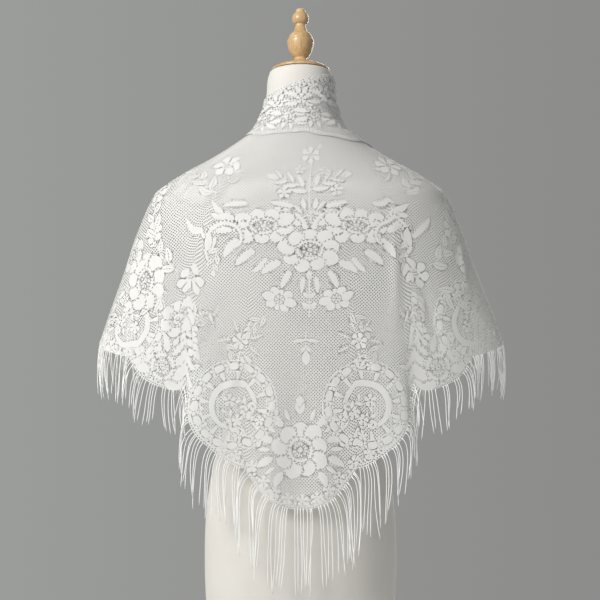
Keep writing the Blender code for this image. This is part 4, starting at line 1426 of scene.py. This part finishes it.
# Fringe
# Cotton threads looped through the hem's corded edge a few at a time and left to hang. They are lightly
# twisted and soft, so they leave the edge straight, curve over, and gather at their tips.
ThreadLength = namedtuple("ThreadLength", "azimuth length")
THREAD_LENGTHS = [
    ThreadLength(0, 0.119),
    ThreadLength(30, 0.112),
    ThreadLength(44, 0.090),
    ThreadLength(58, 0.066),
    ThreadLength(68, 0.058),
    ThreadLength(80, 0.074),
    ThreadLength(100, 0.090),
    ThreadLength(118, 0.076),
    ThreadLength(146, 0.084),
    ThreadLength(FRONT_EDGE, 0.098),
]
LENGTH_SPREAD = 0.16
THREAD_HALF = 0.0006
THREAD_TIP = 0.00035
THREAD_STEPS = 16
THREAD_SIDES = 4
CURVE_OVER = 0.013
LOOSE_GAP = 0.0105
CLOSE_GAP = 0.0042
FRINGE_SEED = 11
THREAD_WHITE = "#fbfbfb"

fringe_finish, fringe_tree, fringe_shader = finish_named("twisted_cotton_thread", 0.7, Sheen_Weight=0.3)
thread_place = add_node(fringe_tree, "ShaderNodeTexCoord", {}).outputs["Object"]
twist = add_node(fringe_tree, "ShaderNodeTexNoise", {"Vector": thread_place, "Scale": 900.0, "Detail": 1.0})
twist_relief = add_node(
    fringe_tree, "ShaderNodeBump", {"Height": twist.outputs["Fac"], "Strength": 0.3, "Distance": 0.0002}
)
fringe_shader.inputs["Base Color"].default_value = srgb(THREAD_WHITE)
fringe_tree.links.new(twist_relief.outputs["Normal"], fringe_shader.inputs["Normal"])


def thread_line(root, way, length, draws, pull):
    """A hanging thread's line: straight out of the edge, curving over, with its own slow waves."""
    share = np.linspace(0, 1, THREAD_STEPS)
    set_way = np.exp(-share * length / (CURVE_OVER * draws["stiff"]))[:, None]
    along = way * set_way + np.array([0, 0, -1.0]) * (1 - set_way)
    waves = np.stack(
        [
            draws["sway"] * np.sin(draws["phase"] + 5.0 * share) * share,
            draws["sway"] * 0.6 * np.cos(draws["phase"] * 1.7 + 4.0 * share) * share,
            0 * share,
        ],
        axis=1,
    )
    along = along + waves
    along /= np.linalg.norm(along, axis=1, keepdims=True)
    steps = along * length / (THREAD_STEPS - 1)
    line = root + np.concatenate([np.zeros((1, 3)), np.cumsum((steps[1:] + steps[:-1]) / 2, axis=0)])
    return line + pull * (share**2)[:, None]


def thread_tube(line, half):
    """A slim tube along a line, with closed ends."""
    along = np.gradient(line, axis=0)
    along /= np.linalg.norm(along, axis=1, keepdims=True)
    side = np.cross(along, np.array([0.31, 0.95, 0.0]))
    side /= np.linalg.norm(side, axis=1, keepdims=True)
    front = np.cross(side, along)
    turn = np.arange(THREAD_SIDES) * 2 * math.pi / THREAD_SIDES
    ring = side[:, None] * np.cos(turn)[:, None] + front[:, None] * np.sin(turn)[:, None]
    return line[:, None] + ring * half[:, None, None]


hem_edge = shawl.grid[-1]
hem_along = np.gradient(hem_edge, axis=0)
hem_along /= np.linalg.norm(hem_along, axis=1, keepdims=True)
hem_down = np.cross(hem_along, shawl.normals[-1])
hem_gone = np.concatenate([[0], np.cumsum(np.linalg.norm(np.diff(hem_edge, axis=0), axis=1))])
rng = np.random.default_rng(FRINGE_SEED)
groups, at = [], 0.004
while at < hem_gone[-1] - 0.004:
    size = int(rng.integers(3, 6))
    group = [at + k * CLOSE_GAP * rng.uniform(0.8, 1.25) for k in range(size)]
    groups.append([place for place in group if place < hem_gone[-1] - 0.002])
    at = group[-1] + rng.uniform(0.8, 1.3) * LOOSE_GAP * (1 if rng.uniform() < 0.75 else 0.5)
threads = {"fringe_wing_left": [], "fringe_back": [], "fringe_wing_right": []}
for group in groups:
    middle = np.mean(group)
    centre = np.array([np.interp(middle, hem_gone, hem_edge[:, k]) for k in range(3)])
    clump = rng.uniform(0.0, 0.75)
    drift = np.array([rng.uniform(-0.007, 0.007), rng.uniform(-0.003, 0.003), 0])
    stiff = rng.uniform(0.7, 1.4)
    for place in group:
        root, way = (
            np.array([np.interp(place, hem_gone, part[:, k]) for k in range(3)]) for part in (hem_edge, hem_down)
        )
        azimuth = np.interp(place, hem_gone, cloth_degrees)
        length = through(
            [row.azimuth for row in THREAD_LENGTHS], [row.length for row in THREAD_LENGTHS], abs(azimuth)
        )
        length *= 1 + LENGTH_SPREAD * rng.uniform(-1, 1)
        draws = {
            "stiff": stiff * rng.uniform(0.85, 1.15),
            "sway": rng.uniform(0.03, 0.11),
            "phase": rng.uniform(0, 2 * math.pi),
        }
        pull = (centre - root) * [1, 1, 0] * clump + drift * rng.uniform(0.6, 1.2)
        line = thread_line(root - way * 0.0006, way / np.linalg.norm(way), length, draws, pull)
        side = "fringe_back"
        if abs(azimuth) > SEAM_AZIMUTH:
            side = "fringe_wing_left" if azimuth < 0 else "fringe_wing_right"
        threads[side].append(line)
thread_half = np.interp(np.linspace(0, 1, THREAD_STEPS), [0, 0.03, 0.9, 1], [0.0009, THREAD_HALF, THREAD_HALF, THREAD_TIP])
for side, lines in threads.items():
    points, faces = [], []
    for line in lines:
        start = len(points) * THREAD_STEPS * THREAD_SIDES
        points.append(thread_tube(line, thread_half).reshape(-1, 3))
        faces += [tuple(i + start for i in face) for face in ring_faces(THREAD_STEPS, THREAD_SIDES)]
    fringe = add_piece(side + "_threads", np.concatenate(points), faces, fringe_finish)
    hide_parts(side)


# Floor, light and camera
FLOOR_PALE = "#d8d7d3"
WALL_LEFT = "#9c9e9b"
WALL_RIGHT = "#8b8b89"
floor_finish, _, floor_shader = finish_named("matt_floor", 0.9)
floor_shader.inputs["Base Color"].default_value = srgb(FLOOR_PALE)
bpy.ops.mesh.primitive_circle_add(vertices=96, radius=1.08, fill_type="NGON", location=(0, 0, -0.0005))
floor = bpy.context.object
floor.name = "floor"
floor.data.materials.append(floor_finish)

world = bpy.data.worlds.new("studio")
world.use_nodes = True
bpy.context.scene.world = world
room = world.node_tree
way_out = add_node(room, "ShaderNodeTexCoord", {}).outputs["Generated"]
sideways = add_node(room, "ShaderNodeSeparateXYZ", {"Vector": way_out}).outputs["X"]
across = add_node(room, "ShaderNodeMapRange", {"Value": sideways, "From Min": -0.22, "From Max": 0.22})
wall_tone = add_node(room, "ShaderNodeMix", {"Factor": across.outputs["Result"]}, data_type="RGBA")
wall_tone.inputs["A"].default_value = srgb(WALL_LEFT)
wall_tone.inputs["B"].default_value = srgb(WALL_RIGHT)
room.links.new(wall_tone.outputs["Result"], room.nodes["Background"].inputs["Color"])


def soft_light(name, place, aim, size, watts, colour):
    light = bpy.data.lights.new(name, "AREA")
    light.shape = "DISK"
    light.size = size
    light.energy = watts
    light.color = srgb(colour)[:3]
    lamp = bpy.data.objects.new(name, light)
    lamp.location = place
    lamp.rotation_euler = (Vector(aim) - Vector(place)).to_track_quat("-Z", "Y").to_euler()
    bpy.context.scene.collection.objects.link(lamp)


soft_light("key", (-1.9, -1.95, 2.2), (0, 0, 0.9), 1.2, 102, "#fffdfb")
soft_light("front", (0.9, 2.7, 1.5), (0, 0, 0.7), 1.8, 42, "#ffffff")
soft_light("fill", (1.9, -2.3, 1.0), (0, 0, 0.7), 1.8, 9, "#fafbff")
bpy.context.scene.view_settings.view_transform = "Standard"

PHOTO_WIDTH_AT_AXIS = 0.93
CAMERA_DISTANCE = 2.4
camera_data = bpy.data.cameras.new("camera")
camera_data.sensor_width = 36
camera_data.lens = 36 * CAMERA_DISTANCE / PHOTO_WIDTH_AT_AXIS
camera_data.shift_x = -0.5 / 600
camera = bpy.data.objects.new("camera", camera_data)
camera.location = (0, -CAMERA_DISTANCE, 0.698)
camera.rotation_euler = (math.radians(90), 0, 0)
bpy.context.scene.collection.objects.link(camera)
bpy.context.scene.camera = camera
